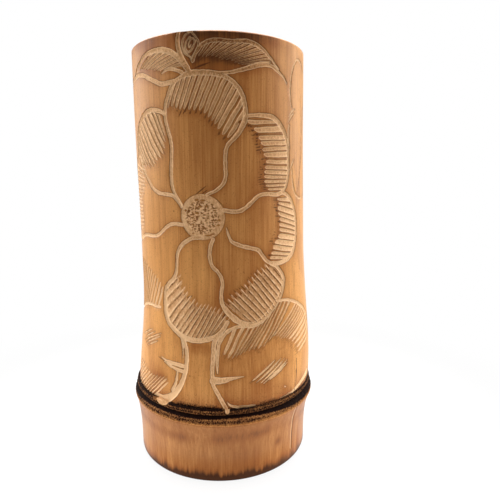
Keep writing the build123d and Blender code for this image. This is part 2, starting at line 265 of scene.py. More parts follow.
SLIPS = (
    # start, end and width of the dark nicks where the tool slipped or stuck
    ((-11.5, 166.8), (-5, 171.8), 0.7), ((-8, 167.2), (-4.5, 169.6), 0.5), ((-9.5, 231.6), (-1, 234.4), 0.9),
    ((-18.8, 109.6), (-15.4, 111), 1.0), ((-1, 166), (4.2, 160.6), 0.6), ((-16.6, 209), (-13.4, 213.6), 0.8),
    ((-14.6, 211.6), (-11.8, 216.8), 0.7), ((-19, 208), (-17, 211.5), 0.6), ((48.4, 61), (48.6, 57.4), 0.9),
    ((7.6, 193.4), (4.6, 190.6), 0.7), ((-39.5, 71.6), (-34, 70.3), 0.6), ((0.5, 98), (3.6, 102.4), 0.7),
)
HATCHES = {
    # count of strokes, share of skin left between them, length of the taper at their inner ends, how dark
    # the tool burnt there, how brown and rough their floor is, and guides: number of a gap between
    # strokes, its inner end and its outer end
    "top petal": (15, 0.30, 5.0, 0.8, 0.15, (
        (0, -26.5, 212.5, -23.5, 222), (1, -25, 213.5, -20.2, 224.1), (3, -19.5, 212.5, -14, 227.1),
        (5, -15, 211, -8, 228.1), (7, -8.5, 211.5, -1, 228.1), (8, -6.3, 209.5, 1.8, 227.6),
        (10, -1.7, 206.3, 7.9, 225.7), (12, 1, 202.5, 12.2, 221.4), (13, 3, 200, 14, 217.5),
        (14, 6, 197.5, 15.8, 213), (15, 8.5, 196, 16.8, 207))),
    "upper right petal": (13, 0.30, 1.6, 1.0, 0.0, (
        (0, 17.5, 207, 34, 207.2), (1, 19.3, 203.2, 37.5, 205), (2, 24.5, 198.9, 41.8, 199.9),
        (3, 25.6, 195.6, 43.6, 197), (4, 26.9, 192.7, 44.6, 194), (5, 27, 189.7, 45.2, 191.3),
        (6, 28.7, 186.2, 45.9, 186.8), (7, 29.2, 183.3, 46, 182.8), (9, 28.3, 177.8, 45.6, 177.4),
        (11, 27.8, 172.6, 44.2, 173), (13, 30, 168.8, 40, 168.8))),
    "right petal": (12, 0.28, 1.8, 1.0, 0.0, (
        (0, 36.4, 165.3, 46, 165.5), (2, 37.5, 161, 51, 157.8), (3, 37.2, 157.2, 53, 153.6),
        (5, 38.7, 151.3, 54.2, 147.3), (7, 38.2, 145.6, 53.6, 142.2), (8, 35.6, 142, 52.8, 138.8),
        (10, 32, 135.3, 48.5, 132.6), (12, 31, 130.2, 40, 129.2))),
    "lower right petal": (12, 0.20, 3.5, 0.8, 1.0, (
        (0, 31.4, 127.4, 39.5, 118.5), (2, 26.6, 123.8, 37.6, 111), (4, 21.5, 121.4, 34, 106),
        (6, 17.8, 118, 30, 101.6), (8, 13.4, 113.2, 26, 98.4), (10, 7.8, 110.3, 20.6, 96),
        (12, 4.2, 106, 14.8, 95.6))),
    "bottom petal": (15, 0.20, 3.5, 0.8, 1.0, (
        (0, -24.5, 121, -33, 113.5), (2, -21.5, 113.8, -32.8, 103), (3, -20.4, 110.6, -31.2, 97.5),
        (5, -16, 106.8, -26, 92.8), (7, -12, 104, -21.7, 89.9), (9, -7.8, 103.8, -16.3, 88.2),
        (11, -3.6, 103.2, -11.3, 88), (13, 0.2, 100.8, -6.8, 89), (15, 3.4, 97, -2.3, 91.2))),
    "lower left petal": (15, 0.45, 4.0, 0.05, 0.1, (
        (0, -34.8, 113, -39.2, 102.3), (2, -39.2, 118, -46, 102), (4, -44, 120.5, -53, 101.4),
        (7, -51.5, 124, -61.5, 98.6), (10, -60, 128, -71, 94.4), (15, -73, 130, -86, 98))),
    "left petal": (17, 0.42, 4.0, 0.35, 0.1, (
        (0, -50, 181.5, -63, 185.6), (3, -49.5, 175, -69, 177.5), (5, -50, 171, -71.5, 172),
        (8, -55, 165, -73, 165), (12, -56, 156.5, -72.3, 156), (15, -55.5, 150, -70, 149),
        (17, -57, 145.5, -67, 144.5))),
    "upper left petal": (11, 0.26, 5.0, 0.6, 0.1, (
        (0, -28, 199.4, -31, 208), (2, -29, 193.8, -38, 210.6), (4, -32, 188.2, -46, 208.6),
        (6, -37, 184, -51.8, 204.6), (8, -42.3, 182, -55.6, 199), (11, -52, 184, -57, 188.5))),
    "left leaf": (9, 0.26, 3.0, 0.4, 0.2, (
        (0, -49, 235.6, -38, 241.4), (2, -44.5, 234.6, -29, 241.4), (4, -38.5, 234.2, -22, 239.4),
        (6, -33.5, 232.6, -18.5, 237), (7, -30.5, 231.5, -17, 235.6), (9, -25, 232.3, -15, 232.8))),
    "right leaf": (12, 0.30, 2.5, 0.9, 0.2, (
        (0, -7.8, 237.6, -4.4, 242.6), (2, -4, 237.3, 3.5, 244), (4, 0.3, 237, 12, 244),
        (6, 4, 236, 20, 244.2), (8, 8.5, 235.6, 26.5, 241.6), (10, 11.5, 234, 30.6, 238.9),
        (12, 16, 233.6, 31.5, 236))),
    "lower right leaf": (11, 0.55, 4.0, 0.55, 0.1, (
        (0, 0.6, 79, 5, 91.4), (2, 5, 75.5, 14, 92.8), (4, 9, 77, 21, 94.2), (6, 14, 80, 28, 98.5),
        (8, 19, 80, 35, 103), (9, 22, 79.5, 39, 104.3), (11, 28, 83, 46, 103))),
    "lower right leaf, far side": (11, 0.50, 4.0, 0.4, 0.1, (
        (0, 30, 86, 49.5, 101.5), (3, 35, 83.5, 57, 97), (6, 40.5, 82, 63, 92), (8, 46, 78, 68, 86),
        (11, 53, 70, 73, 75))),
    "lower left leaf": (13, 0.56, 4.0, 0.35, 0.1, (
        (0, -30, 57.2, -40, 46.8), (2, -32.5, 60.6, -46, 46.6), (4, -37.5, 60, -51, 46.6),
        (6, -43, 59.6, -56, 47), (9, -51, 60.6, -65, 48), (13, -62, 63, -76, 50))),
}
DISC_REMNANTS = (
    # bits of skin left standing in the disc: middle, half length and half height
    (-10.8, 164.3, 1.3, 0.6), (-7.4, 164, 1.6, 0.5), (-9, 160.7, 1.2, 0.5), (-5.4, 161, 0.6, 0.6),
    (-17.4, 158.5, 0.7, 0.7), (-10.8, 157.2, 1.0, 0.6), (-1, 158.6, 1.0, 0.4), (1.3, 153.4, 0.8, 0.7),
    (0.7, 150.7, 0.8, 0.6), (-13.4, 151, 0.6, 0.5), (-13.6, 146.1, 0.7, 0.4), (-5, 145.1, 2.0, 0.5),
    (-2.3, 145.9, 1.0, 0.4),
)
GOUGE_DEPTH = 0.8
GOUGE_WALL = 0.45         # how far in from its edge a line gets most of its depth
STROKE_DEPTH = 0.55
DISC_DEPTH = 0.55
LATE = 0.9                # how far before or after its guide a stroke may start
UNEVEN_SHARE = 0.12       # how much of the pitch a stroke may be wider or narrower
LEAST_PITCH = 0.3         # between two strokes
PAST_END = 1.5            # how far a stroke may run on past its outer end
BEFORE_END = 6            # how far before its inner ends a row still owns the skin
ROW_TURNS = 40            # between the numbers of two rows, so that no two strokes share one
PAST_GAP = 1.5            # how many pitches past its first and last gaps a row still counts on
OWNED_OUT = 2.0           # how far outside of its strokes a row may own the skin
STRAY = 0.06              # share of a pitch by which a stroke wavers, and the length of its waves
STRAY_LENGTH = 12
STROKE_POINT = 0.3        # width of a free stroke's pointed ends, and of a slip's
SLIP_POINT = 0.2
RAGGED = 0.14             # how far a gouged line's edge strays, and the length of its waves
RAGGED_LENGTH = 4.0
CHATTER = 0.12            # share by which the depth of the cuts varies, and the length of its waves
CHATTER_LENGTH = 2.2
FAR = -5.0                # what a field holds a long way outside of every cut

CELL = 6                  # small steps to the side of a plain cell
CELLS_ROUND = 110
CELLS_UP = 68
COLUMNS = CELLS_ROUND * CELL


def round_turn(columns):
    """Angles of evenly spaced columns round the culm, from straight behind it round to there again."""
    return (np.arange(columns) / columns - 0.5) * 2 * np.pi


arc = round_turn(COLUMNS) * MARKING_RADIUS
rise = np.linspace(CULM_LOW, CULM_HIGH - RIM_EDGE, CELLS_UP * CELL + 1)


def window(low, high):
    """The part of the marking grid between two corners, as slices of its rows and columns."""
    rows = slice(*np.searchsorted(rise, (low[1], high[1])))
    columns = slice(*np.searchsorted(arc, (low[0], high[0])))
    return rows, columns


def cut_line(depth_in, points, widths):
    """Raises a field to the distance inside a gouged line: half the width there less the distance to the
    line, over straight pieces of its smooth path."""
    path = smooth_path(points, 5)
    steps = np.hypot(*np.diff(path, axis=0).T)
    share = np.concatenate([[0], np.cumsum(steps)]) / steps.sum()
    half = np.interp(share, np.linspace(0, 1, len(widths)), widths) / 2
    view = window(path.min(0) + FAR, path.max(0) - FAR)
    s, z = arc[None, view[1], None], rise[view[0], None, None]
    (s0, z0), (ds, dz) = path[:-1].T, np.diff(path, axis=0).T
    t = np.clip(((s - s0) * ds + (z - z0) * dz) / (ds**2 + dz**2), 0, 1)
    inside = half[:-1] + t * np.diff(half) - np.hypot(s - s0 - t * ds, z - z0 - t * dz)
    depth_in[view] = np.maximum(depth_in[view], inside.max(-1))


def lumps(seed, *places, length, waves=9):
    """Gentle unevenness, nearly always between -1 and 1: the sum of seeded sine waves that run in every
    direction, each with a wavelength near the length given, scaled by the root of their number."""
    draw = np.random.default_rng(seed)
    total = np.zeros(np.broadcast(*places).shape)
    for _ in range(waves):
        direction = draw.normal(size=len(places))
        direction *= 2 * np.pi / (length * draw.uniform(0.6, 1.6) * np.linalg.norm(direction))
        total += np.sin(sum(d * p for d, p in zip(direction, places)) + draw.uniform(0, 2 * np.pi))
    return total / waves**0.5 / 1.6


shape = (len(rise), len(arc))
line_in = np.full(shape, FAR)
slip_in = np.full(shape, FAR)
for *widths, points in LINES.values():
    cut_line(line_in, points, widths)
for start, end, width in PATCH_STROKES:
    middle = ((start[0] + end[0]) / 2, (start[1] + end[1]) / 2)
    cut_line(line_in, (start, middle, end), (STROKE_POINT, width, width, STROKE_POINT))
for start, end, width in SLIPS:
    cut_line(slip_in, (start, end), (SLIP_POINT, width, SLIP_POINT))

turns = np.zeros(shape)
stroke_in = np.full(shape, FAR)
hatch_in = np.full(shape, FAR)
open_share = np.zeros(shape)
burn_field = np.zeros(shape)
brown_field = np.zeros(shape)
reach = np.full(shape, FAR)
hand = np.random.default_rng(11)
for first, (count, skin, taper, darkness, floor, guides) in enumerate(HATCHES.values()):
    # Each gap between strokes is a straight line from its inner to its outer end. A point's turns are the
    # number of the gap on one side of it plus the share of the way to the next gap. Its place along the
    # stroke is measured from the inner end, which no two strokes have quite alike.
    guides = np.array(guides, float)
    gaps = np.arange(count + 1)
    inner, outer = (
        np.stack([np.interp(gaps, guides[:, 0], guides[:, column + axis]) for axis in (0, 1)], 1)
        for column in (1, 3))
    late = hand.uniform(-LATE, LATE, count + 1)
    uneven = hand.uniform(-UNEVEN_SHARE, UNEVEN_SHARE, count + 1)
    view = window(np.minimum(inner, outer).min(0) + FAR, np.maximum(inner, outer).max(0) - FAR)
    s, z = np.meshgrid(arc[view[1]], rise[view[0]])
    ds, dz = (outer - inner).T[..., None, None]
    length = np.hypot(ds, dz)
    ps, pz = s - inner[:, 0, None, None], z - inner[:, 1, None, None]
    along = (ps * ds + pz * dz) / length
    side = (ps * dz - pz * ds) / length
    side *= np.sign((inner[-1, 0] - inner[0, 0]) * dz[0] - (inner[-1, 1] - inner[0, 1]) * ds[0])
    gap = np.clip((side > 0).sum(0) - 1, 0, count - 1)[None]

    def beside(values):
        """The values of the gaps before and after each point."""
        values = np.broadcast_to(values, side.shape)
        return (np.take_along_axis(values, gap + step, 0)[0] for step in (0, 1))

    before, after = beside(side)
    pitch = np.maximum(before - after, LEAST_PITCH)
    turn = np.clip(before / pitch, -PAST_GAP, 1 + PAST_GAP)
    share = np.clip(turn, 0, 1)
    here, there = beside(along)
    total, total_there = beside(length)
    place = here + (there - here) * share
    left = total + (total_there - total) * share - place
    turn = turn + gap[0] + STRAY * lumps(60 + first, s, z, length=STRAY_LENGTH)
    place = place - np.interp(turn, gaps, late)
    sideways = np.minimum(turn, count - turn) * pitch
    inside = np.minimum(sideways, left + PAST_END)
    owned = np.minimum(inside, place + BEFORE_END)
    t = np.clip(place / taper, 0, 1)
    widening = np.where(place > 0, np.sqrt(1 - (1 - t) ** 2), place / 2)
    opening = (1 - skin + np.interp(turn, gaps, uneven)) * widening
    better = owned > np.maximum(reach[view], -OWNED_OUT)
    for field, value in (
        (reach, owned), (turns, turn + ROW_TURNS * first), (stroke_in, place), (hatch_in, inside),
        (open_share, opening), (burn_field, darkness), (brown_field, floor),
    ):
        field[view] = np.where(better, value, field[view])

s, z = np.meshgrid(arc, rise)
disc_in = DISC[2] - np.hypot(s - DISC[0], z - DISC[1])
for middle_s, middle_z, half_s, half_z in DISC_REMNANTS:
    bit = np.hypot((s - middle_s) / half_s, (z - middle_z) / half_z)
    disc_in = np.minimum(disc_in, (bit - 1) * min(half_s, half_z))
disc_in = np.clip(disc_in, FAR, -FAR)


def eased(value, low, high):
    """Smooth step from 0 at low to 1 at high."""
    t = np.clip((value - low) / (high - low), 0, 1)
    return t * t * (3 - 2 * t)


line_in += RAGGED * lumps(5, s, z, length=RAGGED_LENGTH)
line_cut = GOUGE_DEPTH * (1 - np.exp(-np.clip(line_in, 0, None) / GOUGE_WALL))
off_middle = np.abs(turns % 1 - 0.5) * 2
stroke_cut = STROKE_DEPTH * np.clip(1 - (off_middle / np.clip(open_share, 0.05, 1)) ** 2, 0, 1) ** 0.6
stroke_cut *= eased(hatch_in, 0, 0.5) * (stroke_in > 0)
disc_cut = DISC_DEPTH * eased(disc_in, -0.1, 0.5)
relief = np.maximum(np.maximum(line_cut, stroke_cut), disc_cut)
relief *= 1 + CHATTER * lumps(7, s, z, length=CHATTER_LENGTH)


# The wall of the upper culm
# The drawn cuts sink into the skin. The sawn rim has sanded edges, and the bore behind it is left as grown.
# A cell of the wall that a cut touches keeps its small steps, and a plain cell is one polygon.
def walk(*corners, steps):
    """Points along straight runs from corner to corner in even steps, without the last corner."""
    runs = zip(corners, corners[1:], steps)
    return np.concatenate([np.linspace(a, b, count, endpoint=False) for a, b, count in runs])


def rounded(middle, radius, start, steps=CELL):
    """A quarter circle about a middle, turning left from the direction start, without its last point."""
    turn = start + np.linspace(0, np.pi / 2, steps, endpoint=False)
    return np.stack([middle[0] + radius * np.cos(turn), middle[1] + radius * np.sin(turn)], 1)


UNEVEN = 0.12             # how far the skin dips where the culm isn't quite round
RIM_CELLS = 4             # across the sawn face, down the bore and across the lower end
BORE_CELLS = 8
SOLE_CELLS = 2
rim = np.concatenate([
    rounded((MOUTH_RADIUS - RIM_EDGE, CULM_HIGH - RIM_EDGE), RIM_EDGE, 0),
    walk((MOUTH_RADIUS - RIM_EDGE, CULM_HIGH), (BORE_RADIUS + RIM_EDGE, CULM_HIGH),
         steps=(RIM_CELLS * CELL,)),
    rounded((BORE_RADIUS + RIM_EDGE, CULM_HIGH - RIM_EDGE), RIM_EDGE, np.pi / 2),
    walk((BORE_RADIUS, CULM_HIGH - RIM_EDGE), (BORE_RADIUS, CULM_LOW), (culm_radius(CULM_LOW), CULM_LOW),
         steps=(BORE_CELLS * CELL, SOLE_CELLS * CELL)),
])
outer_rows = CELLS_UP * CELL
row_r = np.concatenate([culm_radius(rise[:-1]), rim[:, 0]])
row_z = np.concatenate([rise[:-1], rim[:, 1]])
share_out = np.clip((row_r - BORE_RADIUS) / (culm_radius(row_z) - BORE_RADIUS), 0, 1)


def whole_wall(field, elsewhere):
    """A field of the marking grid put on every row of the closed wall. The rim's edge repeats its last."""
    full = np.full((len(row_z), len(arc)), float(elsewhere))
    full[:outer_rows] = field[:outer_rows]
    full[outer_rows:outer_rows + CELL] = field[outer_rows]
    return full


def round_points(turn, radius, z, middle=0):
    """Points round the culm, from the angle away from straight in front, the radius there, the height, and
    how far to the side the culm's middle lies."""
    places = middle + radius * np.sin(turn), -radius * np.cos(turn), z
    return np.stack(np.broadcast_arrays(*places), -1).reshape(-1, 3)


angle = arc / MARKING_RADIUS
dip = UNEVEN * (0.5 + 0.5 * lumps(3, arc[None] * 4, rise[:, None], length=60))
dip[0] = 0
sink = whole_wall(relief + dip, 0)
sink[outer_rows:outer_rows + CELL] *= np.cos(np.linspace(0, np.pi / 2, CELL))[:, None]
radius = row_r[:, None] - sink
middle = (culm_middle(row_z) * share_out)[:, None]
points = round_points(angle, radius, row_z[:, None], middle)

cut_here = (relief > 0.01) | (line_in > -0.4) | (slip_in > -0.5)
cells = whole_wall(cut_here, 0).reshape(-1, CELL, CELLS_ROUND, CELL).any(axis=(1, 3))
polygons = knit(cells, CELL)
row_of = np.concatenate([group.min(1) // len(arc) for group in polygons])
uses = (row_of >= outer_rows + CELL) & (row_of < outer_rows + (RIM_CELLS + 2) * CELL)

STAINS = (
    # where heat has browned the skin: middle, half width and half height of each stain, and its strength
    (0, 150, 900, 900, 0.06), (14, 150, 36, 400, 0.28), (-6, 202, 17, 26, 0.20), (22, 187, 12, 20, 0.10),
    (4, 250.5, 27, 6.5, 0.90), (6, 236, 20, 5, 0.58), (-12, 243, 12, 9, 0.30), (-42, 250, 16, 5, 0.70),
    (-63, 250, 9, 4, 0.12), (30, 249, 10, 6, 0.35), (26, 222, 9, 12, 0.10),
    (-37, 61, 9, 5, 0.35), (26, 56, 13, 4, 0.22), (12, 74, 12, 8, 0.06),
    (-12, 81.5, 8, 3.5, 0.40), (22, 131, 14, 10, 0.10), (0, 47, 900, 6, 0.30), (6, 108, 10, 8, 0.15),
    (-3, 230.5, 24, 4, 0.16), (-38, 238, 16, 12, 0.30), (-42, 205, 14, 22, 0.12), (36, 148, 6, 14, 0.10),
    (26, 181, 5, 16, 0.04), (24, 118, 9, 9, 0.10), (-9, 107, 12, 6, 0.10),
)


def bell(value, middle, reach):
    """A bell curve: 1 at the middle, and about 0.37 at reach from it."""
    return np.exp(-(((value - middle) / reach) ** 2))


def spot(s, z, middle_s, middle_z, half_s, half_z):
    """A bell curve both ways round a middle, with a reach of its own for each."""
    return np.exp(-(((s - middle_s) / half_s) ** 2) - ((z - middle_z) / half_z) ** 2)


def browning(s, z):
    """How brown heat has turned a place on the skin: the sum of stains that fade as bell curves."""
    return sum(strength * spot(s, z, *where) for *where, strength in STAINS)


CRACK_ARC = 48.3
CRACK_LOW = 8             # heights between which it is open
CRACK_HIGH = 68
GROOVE_LINE = 42.2        # heights of the torch's marks on the node
LIP_LINE = 44.4
BROKEN_LINE = 46.2
LOWER_LINE = 39.4
SMOKE_LINE = 43


def from_crack(s, z):
    """Signed arc to the drying crack, which wanders a little on its way up the right-hand side. Past its
    ends the arc is stretched, so that the crack closes there."""
    past = np.maximum(np.maximum(0, z - CRACK_HIGH), np.maximum(0, CRACK_LOW - z))
    return np.clip((s - CRACK_ARC - 0.5 * np.sin(z / 8)) * (1 + 4 * past), -9, 9)


def charring(s, z):
    """How far the torch has charred the node: a black line in the groove, a broken one above it, another
    below it and brown smoke around them. The black line thickens to both sides, and more to the right."""
    side = np.abs(s) / 70
    groove = GROOVE_LINE - 1.0 * side**2 + 0.3 * np.sin(s / 9)
    thick = 0.9 + 1.4 * eased(s, 25, 70) + 0.8 * eased(-s, 35, 80)
    black = 1.05 * bell(z, groove, thick)
    above = (0.62 - 0.20 * eased(s, 5, 25) + 0.2 * eased(s, 45, 60)) * bell(z, BROKEN_LINE, 0.9)
    lip = 0.36 * bell(z, LIP_LINE, 1.6)
    above *= 1 - 0.9 * bell(s, 4, 1.6) - 0.8 * bell(s, -36, 5)
    below = (0.44 - 0.12 * eased(s, 10, 30)) * bell(z, LOWER_LINE, 1.5)
    smoke = 0.27 * bell(z, SMOKE_LINE, 4.5 + 3 * eased(z, SMOKE_LINE, SMOKE_LINE + 3))
    return np.maximum(np.maximum(black, lip), np.maximum(above, below)) + smoke


def srgb(red, green, blue):
    """A colour as a screen shows it, 0 to 255, as the linear values that a shader takes."""
    shown = np.array([red, green, blue]) / 255
    linear = np.where(shown < 0.04045, shown / 12.92, ((shown + 0.055) / 1.055) ** 2.4)
    return (*linear.tolist(), 1.0)


def add(tree, kind, wires=None, **options):
    """A new node of that kind. Its options are set, and each input named is linked or given its value."""
    item = tree.nodes.new("ShaderNode" + kind)
    for option, value in options.items():
        setattr(item, option, value)
    for name, value in (wires or {}).items():
        if isinstance(value, bpy.types.NodeSocket):
            tree.links.new(value, item.inputs[name])
        else:
            item.inputs[name].default_value = value
    return item


def math(tree, operation, a, b=0.0, c=0.0):
    """The result of one sum on one to three values."""
    return add(tree, "Math", {0: a, 1: b, 2: c}, operation=operation).outputs[0]


def scaled(tree, value, factor, plus):
    """A value times a factor, plus another value."""
    return math(tree, "MULTIPLY_ADD", value, factor, plus)


def times(tree, first, *others):
    """The values multiplied together, from left to right."""
    for other in others:
        first = math(tree, "MULTIPLY", first, other)
    return first


def largest(tree, first, *others):
    """The largest of the values."""
    for other in others:
        first = math(tree, "MAXIMUM", first, other)
    return first


def swayed(tree, value, swing, wave):
    """A value moved by a wave between 0 and 1, by up to half the swing each way."""
    return scaled(tree, math(tree, "SUBTRACT", wave, 0.5), swing, value)


def vector(tree, operation, a, b=(0, 0, 0)):
    """The result of one sum on places. A length and a dot product are numbers."""
    result = add(tree, "VectorMath", {0: a, 1: b}, operation=operation).outputs
    return result["Value" if operation in ("LENGTH", "DOT_PRODUCT") else "Vector"]


def level_place(tree, place):
    """A place with its height left out, and how far it is from the culm's axis."""
    flat = vector(tree, "MULTIPLY", place, (1, 1, 0))
    return flat, vector(tree, "LENGTH", flat)


def slope(tree, value, low, high, at_low=0.0, at_high=1.0):
    """A value eased from one level at low to another at high, and held level past them."""
    wires = {"Value": value, "From Min": low, "From Max": high, "To Min": at_low, "To Max": at_high}
    return add(tree, "MapRange", wires, interpolation_type="SMOOTHSTEP").outputs["Result"]


def lay(tree, share, under, over):
    """A colour with another laid over it by that share."""
    wires = {0: share, 6: under, 7: over}
    return add(tree, "Mix", wires, data_type="RGBA").outputs[2]


def noise(tree, place, scale, stretch=(1, 1, 1), detail=2.0, roughness=0.5):
    """Noise from 0 to 1 over a place in millimetres. Scale is in waves to the millimetre."""
    moved = vector(tree, "MULTIPLY", place, stretch)
    wires = {"Vector": moved, "Scale": scale, "Detail": detail, "Roughness": roughness}
    return add(tree, "TexNoise", wires).outputs["Fac"]


PLAIN_GLOSS = 0.05        # of the wood itself, because the varnish is a coat of its own


def start_group(name, takes, gives):
    """A node group, the sockets that hold what it is given, and the sockets that take what it gives. Each
    input has a kind of socket and a value to start from, and each output has a kind."""
    group = bpy.data.node_groups.new(name, "ShaderNodeTree")
    for title, (kind, value) in takes.items():
        socket = group.interface.new_socket(name=title, in_out="INPUT", socket_type="NodeSocket" + kind)
        if value is not None:
            socket.default_value = value
    for title, kind in gives.items():
        group.interface.new_socket(name=title, in_out="OUTPUT", socket_type="NodeSocket" + kind)
    return group, group.nodes.new("NodeGroupInput").outputs, group.nodes.new("NodeGroupOutput").inputs


def finish_group(group, ends, values):
    """Links values to the group's outputs by name."""
    for title, value in values.items():
        group.links.new(value, ends[title])


def use_group(tree, group, wires):
    """Places a group in a material and gives its outputs."""
    return add(tree, "Group", wires, node_tree=group).outputs


def start_material(name):
    """A material, its node tree, its Principled BSDF and the object's own place in millimetres."""
    material = bpy.data.materials.new(name)
    material.use_nodes = True
    tree = material.node_tree
    own = add(tree, "TexCoord").outputs["Object"]
    place = vector(tree, "MULTIPLY", own, (1 / MM,) * 3)
    return material, tree, tree.nodes["Principled BSDF"], place


def mark(tree, name):
    """A number kept on the mesh's points."""
    return add(tree, "Attribute", attribute_name=name).outputs["Fac"]


def in_crack(tree, wide=0.35, narrow=0.12):
    """How far into the drying crack a place is, from 0 on the skin to 1 along the crack's middle."""
    return slope(tree, math(tree, "ABSOLUTE", mark(tree, "crack")), wide, narrow)


def shade(tree, bsdf, colour, roughness, height, **fixed):
    """Wires colour, roughness and a height in millimetres to the surface, and sets its plain values."""
    tree.links.new(colour, bsdf.inputs["Base Color"])
    tree.links.new(roughness, bsdf.inputs["Roughness"])
    bsdf.inputs["Specular IOR Level"].default_value = PLAIN_GLOSS
    bump = add(tree, "Bump", {"Height": height, "Distance": MM})
    tree.links.new(bump.outputs[0], bsdf.inputs["Normal"])
    for title, value in fixed.items():
        bsdf.inputs[title.replace("_", " ")].default_value = value


# varnished skin: fibres run up the culm, heat turns it from straw to brown, and the torch to black
bamboo_skin, given, ends = start_group(
    "bamboo skin",
    {"Place": ("Vector", None), "Toast": ("Float", 0.2), "Char": ("Float", 0.0)},
    {"Colour": "Color", "Roughness": "Float", "Height": "Float", "Char": "Float"})
tree, place = bamboo_skin, given["Place"]
fibre = noise(tree, place, 1.3, (1, 1, 0.022), 3, 0.6)
band = noise(tree, place, 0.2, (1, 1, 0.05), 3, 0.6)
cloud = noise(tree, place, 0.05, (1, 1, 0.5), 3)
grit = noise(tree, place, 1.4, (1, 1, 0.8), 3, 0.7)
toast = swayed(tree, given["Toast"], 0.62, fibre)
toast = swayed(tree, toast, 0.62, band)
toast = swayed(tree, toast, 0.5, cloud)
colour = lay(tree, slope(tree, toast, -0.15, 0.75), srgb(217, 156, 90), srgb(154, 93, 45))
colour = lay(tree, slope(tree, toast, 0.6, 1.3), colour, srgb(78, 45, 24))
dots = add(tree, "TexVoronoi", {"Vector": place, "Scale": 0.13})
dot = slope(tree, dots.outputs["Distance"], 0.09, 0.03)
chance = add(tree, "SeparateColor", {0: dots.outputs["Color"]}).outputs[0]
dot = times(tree, dot, slope(tree, chance, 0.6, 0.9, 0, 0.6))
colour = lay(tree, dot, colour, srgb(96, 58, 32))
rough_char = swayed(tree, given["Char"], 1.6, grit)
char = slope(tree, rough_char, 0.42, 0.68)
scorch = slope(tree, rough_char, 0.05, 0.5, 0, 0.75)
colour = lay(tree, scorch, colour, srgb(92, 54, 32))
colour = lay(tree, char, colour, srgb(26, 12, 7))
roughness = scaled(tree, fibre, 0.18, 0.26)
roughness = scaled(tree, scorch, 0.6, roughness)
height = scaled(tree, fibre, 0.05, times(tree, band, 0.3))
finish_group(tree, ends, {"Colour": colour, "Roughness": roughness, "Height": height, "Char": char})

# wood laid bare by a gouge or a saw: pale, fuzzy and grained by the torn ends of its fibres
bare_bamboo, given, ends = start_group(
    "bare bamboo",
    {"Place": ("Vector", None), "Brown": ("Float", 0.0)},
    {"Colour": "Color", "Roughness": "Float", "Height": "Float"})
tree, place = bare_bamboo, given["Place"]
fuzz = noise(tree, place, 1.1, (1, 1, 0.6), 4, 0.75)
patch = noise(tree, place, 0.15, (1, 1, 0.4))
brown_share = swayed(tree, given["Brown"], 3.2, fuzz)
brown_share = swayed(tree, brown_share, 0.5, patch)
pale_share = slope(tree, brown_share, -0.5, 0.5)
colour = lay(tree, pale_share, srgb(238, 194, 146), srgb(202, 150, 100))
colour = lay(tree, slope(tree, brown_share, 0.4, 1.5), colour, srgb(122, 76, 42))
height = times(tree, fuzz, 0.22)
finish_group(tree, ends, {
    "Colour": colour, "Roughness": scaled(tree, fuzz, 0.2, 0.55), "Height": height})

culm_skin, tree, bsdf, place = start_material("carved_skin")
toast = mark(tree, "toast")
wobble = math(tree, "SUBTRACT", noise(tree, place, 0.9), 0.5)
line = scaled(tree, wobble, 0.35, mark(tree, "line_in"))
disc_place = scaled(tree, wobble, 0.3, mark(tree, "disc_in"))
turn = math(tree, "FRACT", scaled(tree, wobble, 0.11, mark(tree, "turns")))
off = math(tree, "ABSOLUTE", scaled(tree, turn, 2.0, -1.0))
stroke = math(tree, "SUBTRACT", mark(tree, "open_share"), off)
hatch = mark(tree, "hatch_in")
along = scaled(tree, wobble, 1.2, mark(tree, "stroke_in"))
burn = mark(tree, "burn")
brown = mark(tree, "brown")
in_hatch = times(tree, slope(tree, hatch, -0.2, 0.2), slope(tree, along, -0.2, 0.2))
stroke_cut = times(tree, slope(tree, stroke, -0.06, 0.1), in_hatch)
line_cut = slope(tree, line, -0.08, 0.14)
disc_cut = slope(tree, disc_place, -0.1, 0.2)
cut = largest(tree, line_cut, stroke_cut, disc_cut)

# a cut's edge is paler than its floor, partly torn wood and partly a painted highlight of its lit walls,
# and the skin just outside is darkened, partly by burning and partly as painted shadow
line_rim = times(tree, line_cut, slope(tree, line, 0.2, 0.6, 1, 0))
stroke_rim = times(
    tree, stroke_cut, slope(tree, stroke, 0.1, 0.35, 1, 0), slope(tree, brown, 0.3, 0.7, 1, 0))
torn = times(tree, slope(tree, brown, 0.25, 0.6), slope(tree, hatch, -0.1, 0.3))
fade = slope(tree, noise(tree, place, 0.3), 0.32, 0.56, 0.35, 1)
# in the brown rows each crest gets a painted highlight, and a painted shadow just after it
painted_crest_highlight = times(tree, slope(tree, off, 0.72, 0.84), slope(tree, along, -3.4, -1.8), torn, fade)
painted_crest_shadow = times(
    tree, slope(tree, turn, 0.09, 0.15), slope(tree, turn, 0.26, 0.38, 1, 0),
    slope(tree, along, -3.0, -1.0), torn)
from_disc = vector(tree, "SUBTRACT", place, (DISC[0], 0, DISC[1]))
from_disc = vector(tree, "LENGTH", vector(tree, "MULTIPLY", from_disc, (1, 0, 1)))
past_disc = times(tree, slope(tree, from_disc, 8.4, 10.0, 1, 0), disc_cut)
grain = noise(tree, place, 0.72, (1, 1, 1.3), 1.5)
pit = times(tree, slope(tree, grain, 0.50, 0.42), past_disc)
pit_rim = times(tree, slope(tree, grain, 0.53, 0.61), past_disc)
rim_share = largest(tree, line_rim, stroke_rim, painted_crest_highlight, times(tree, pit_rim, 0.7))
rim_share = times(tree, rim_share, slope(tree, toast, 0.4, 1.0, 0.85, 0.35))

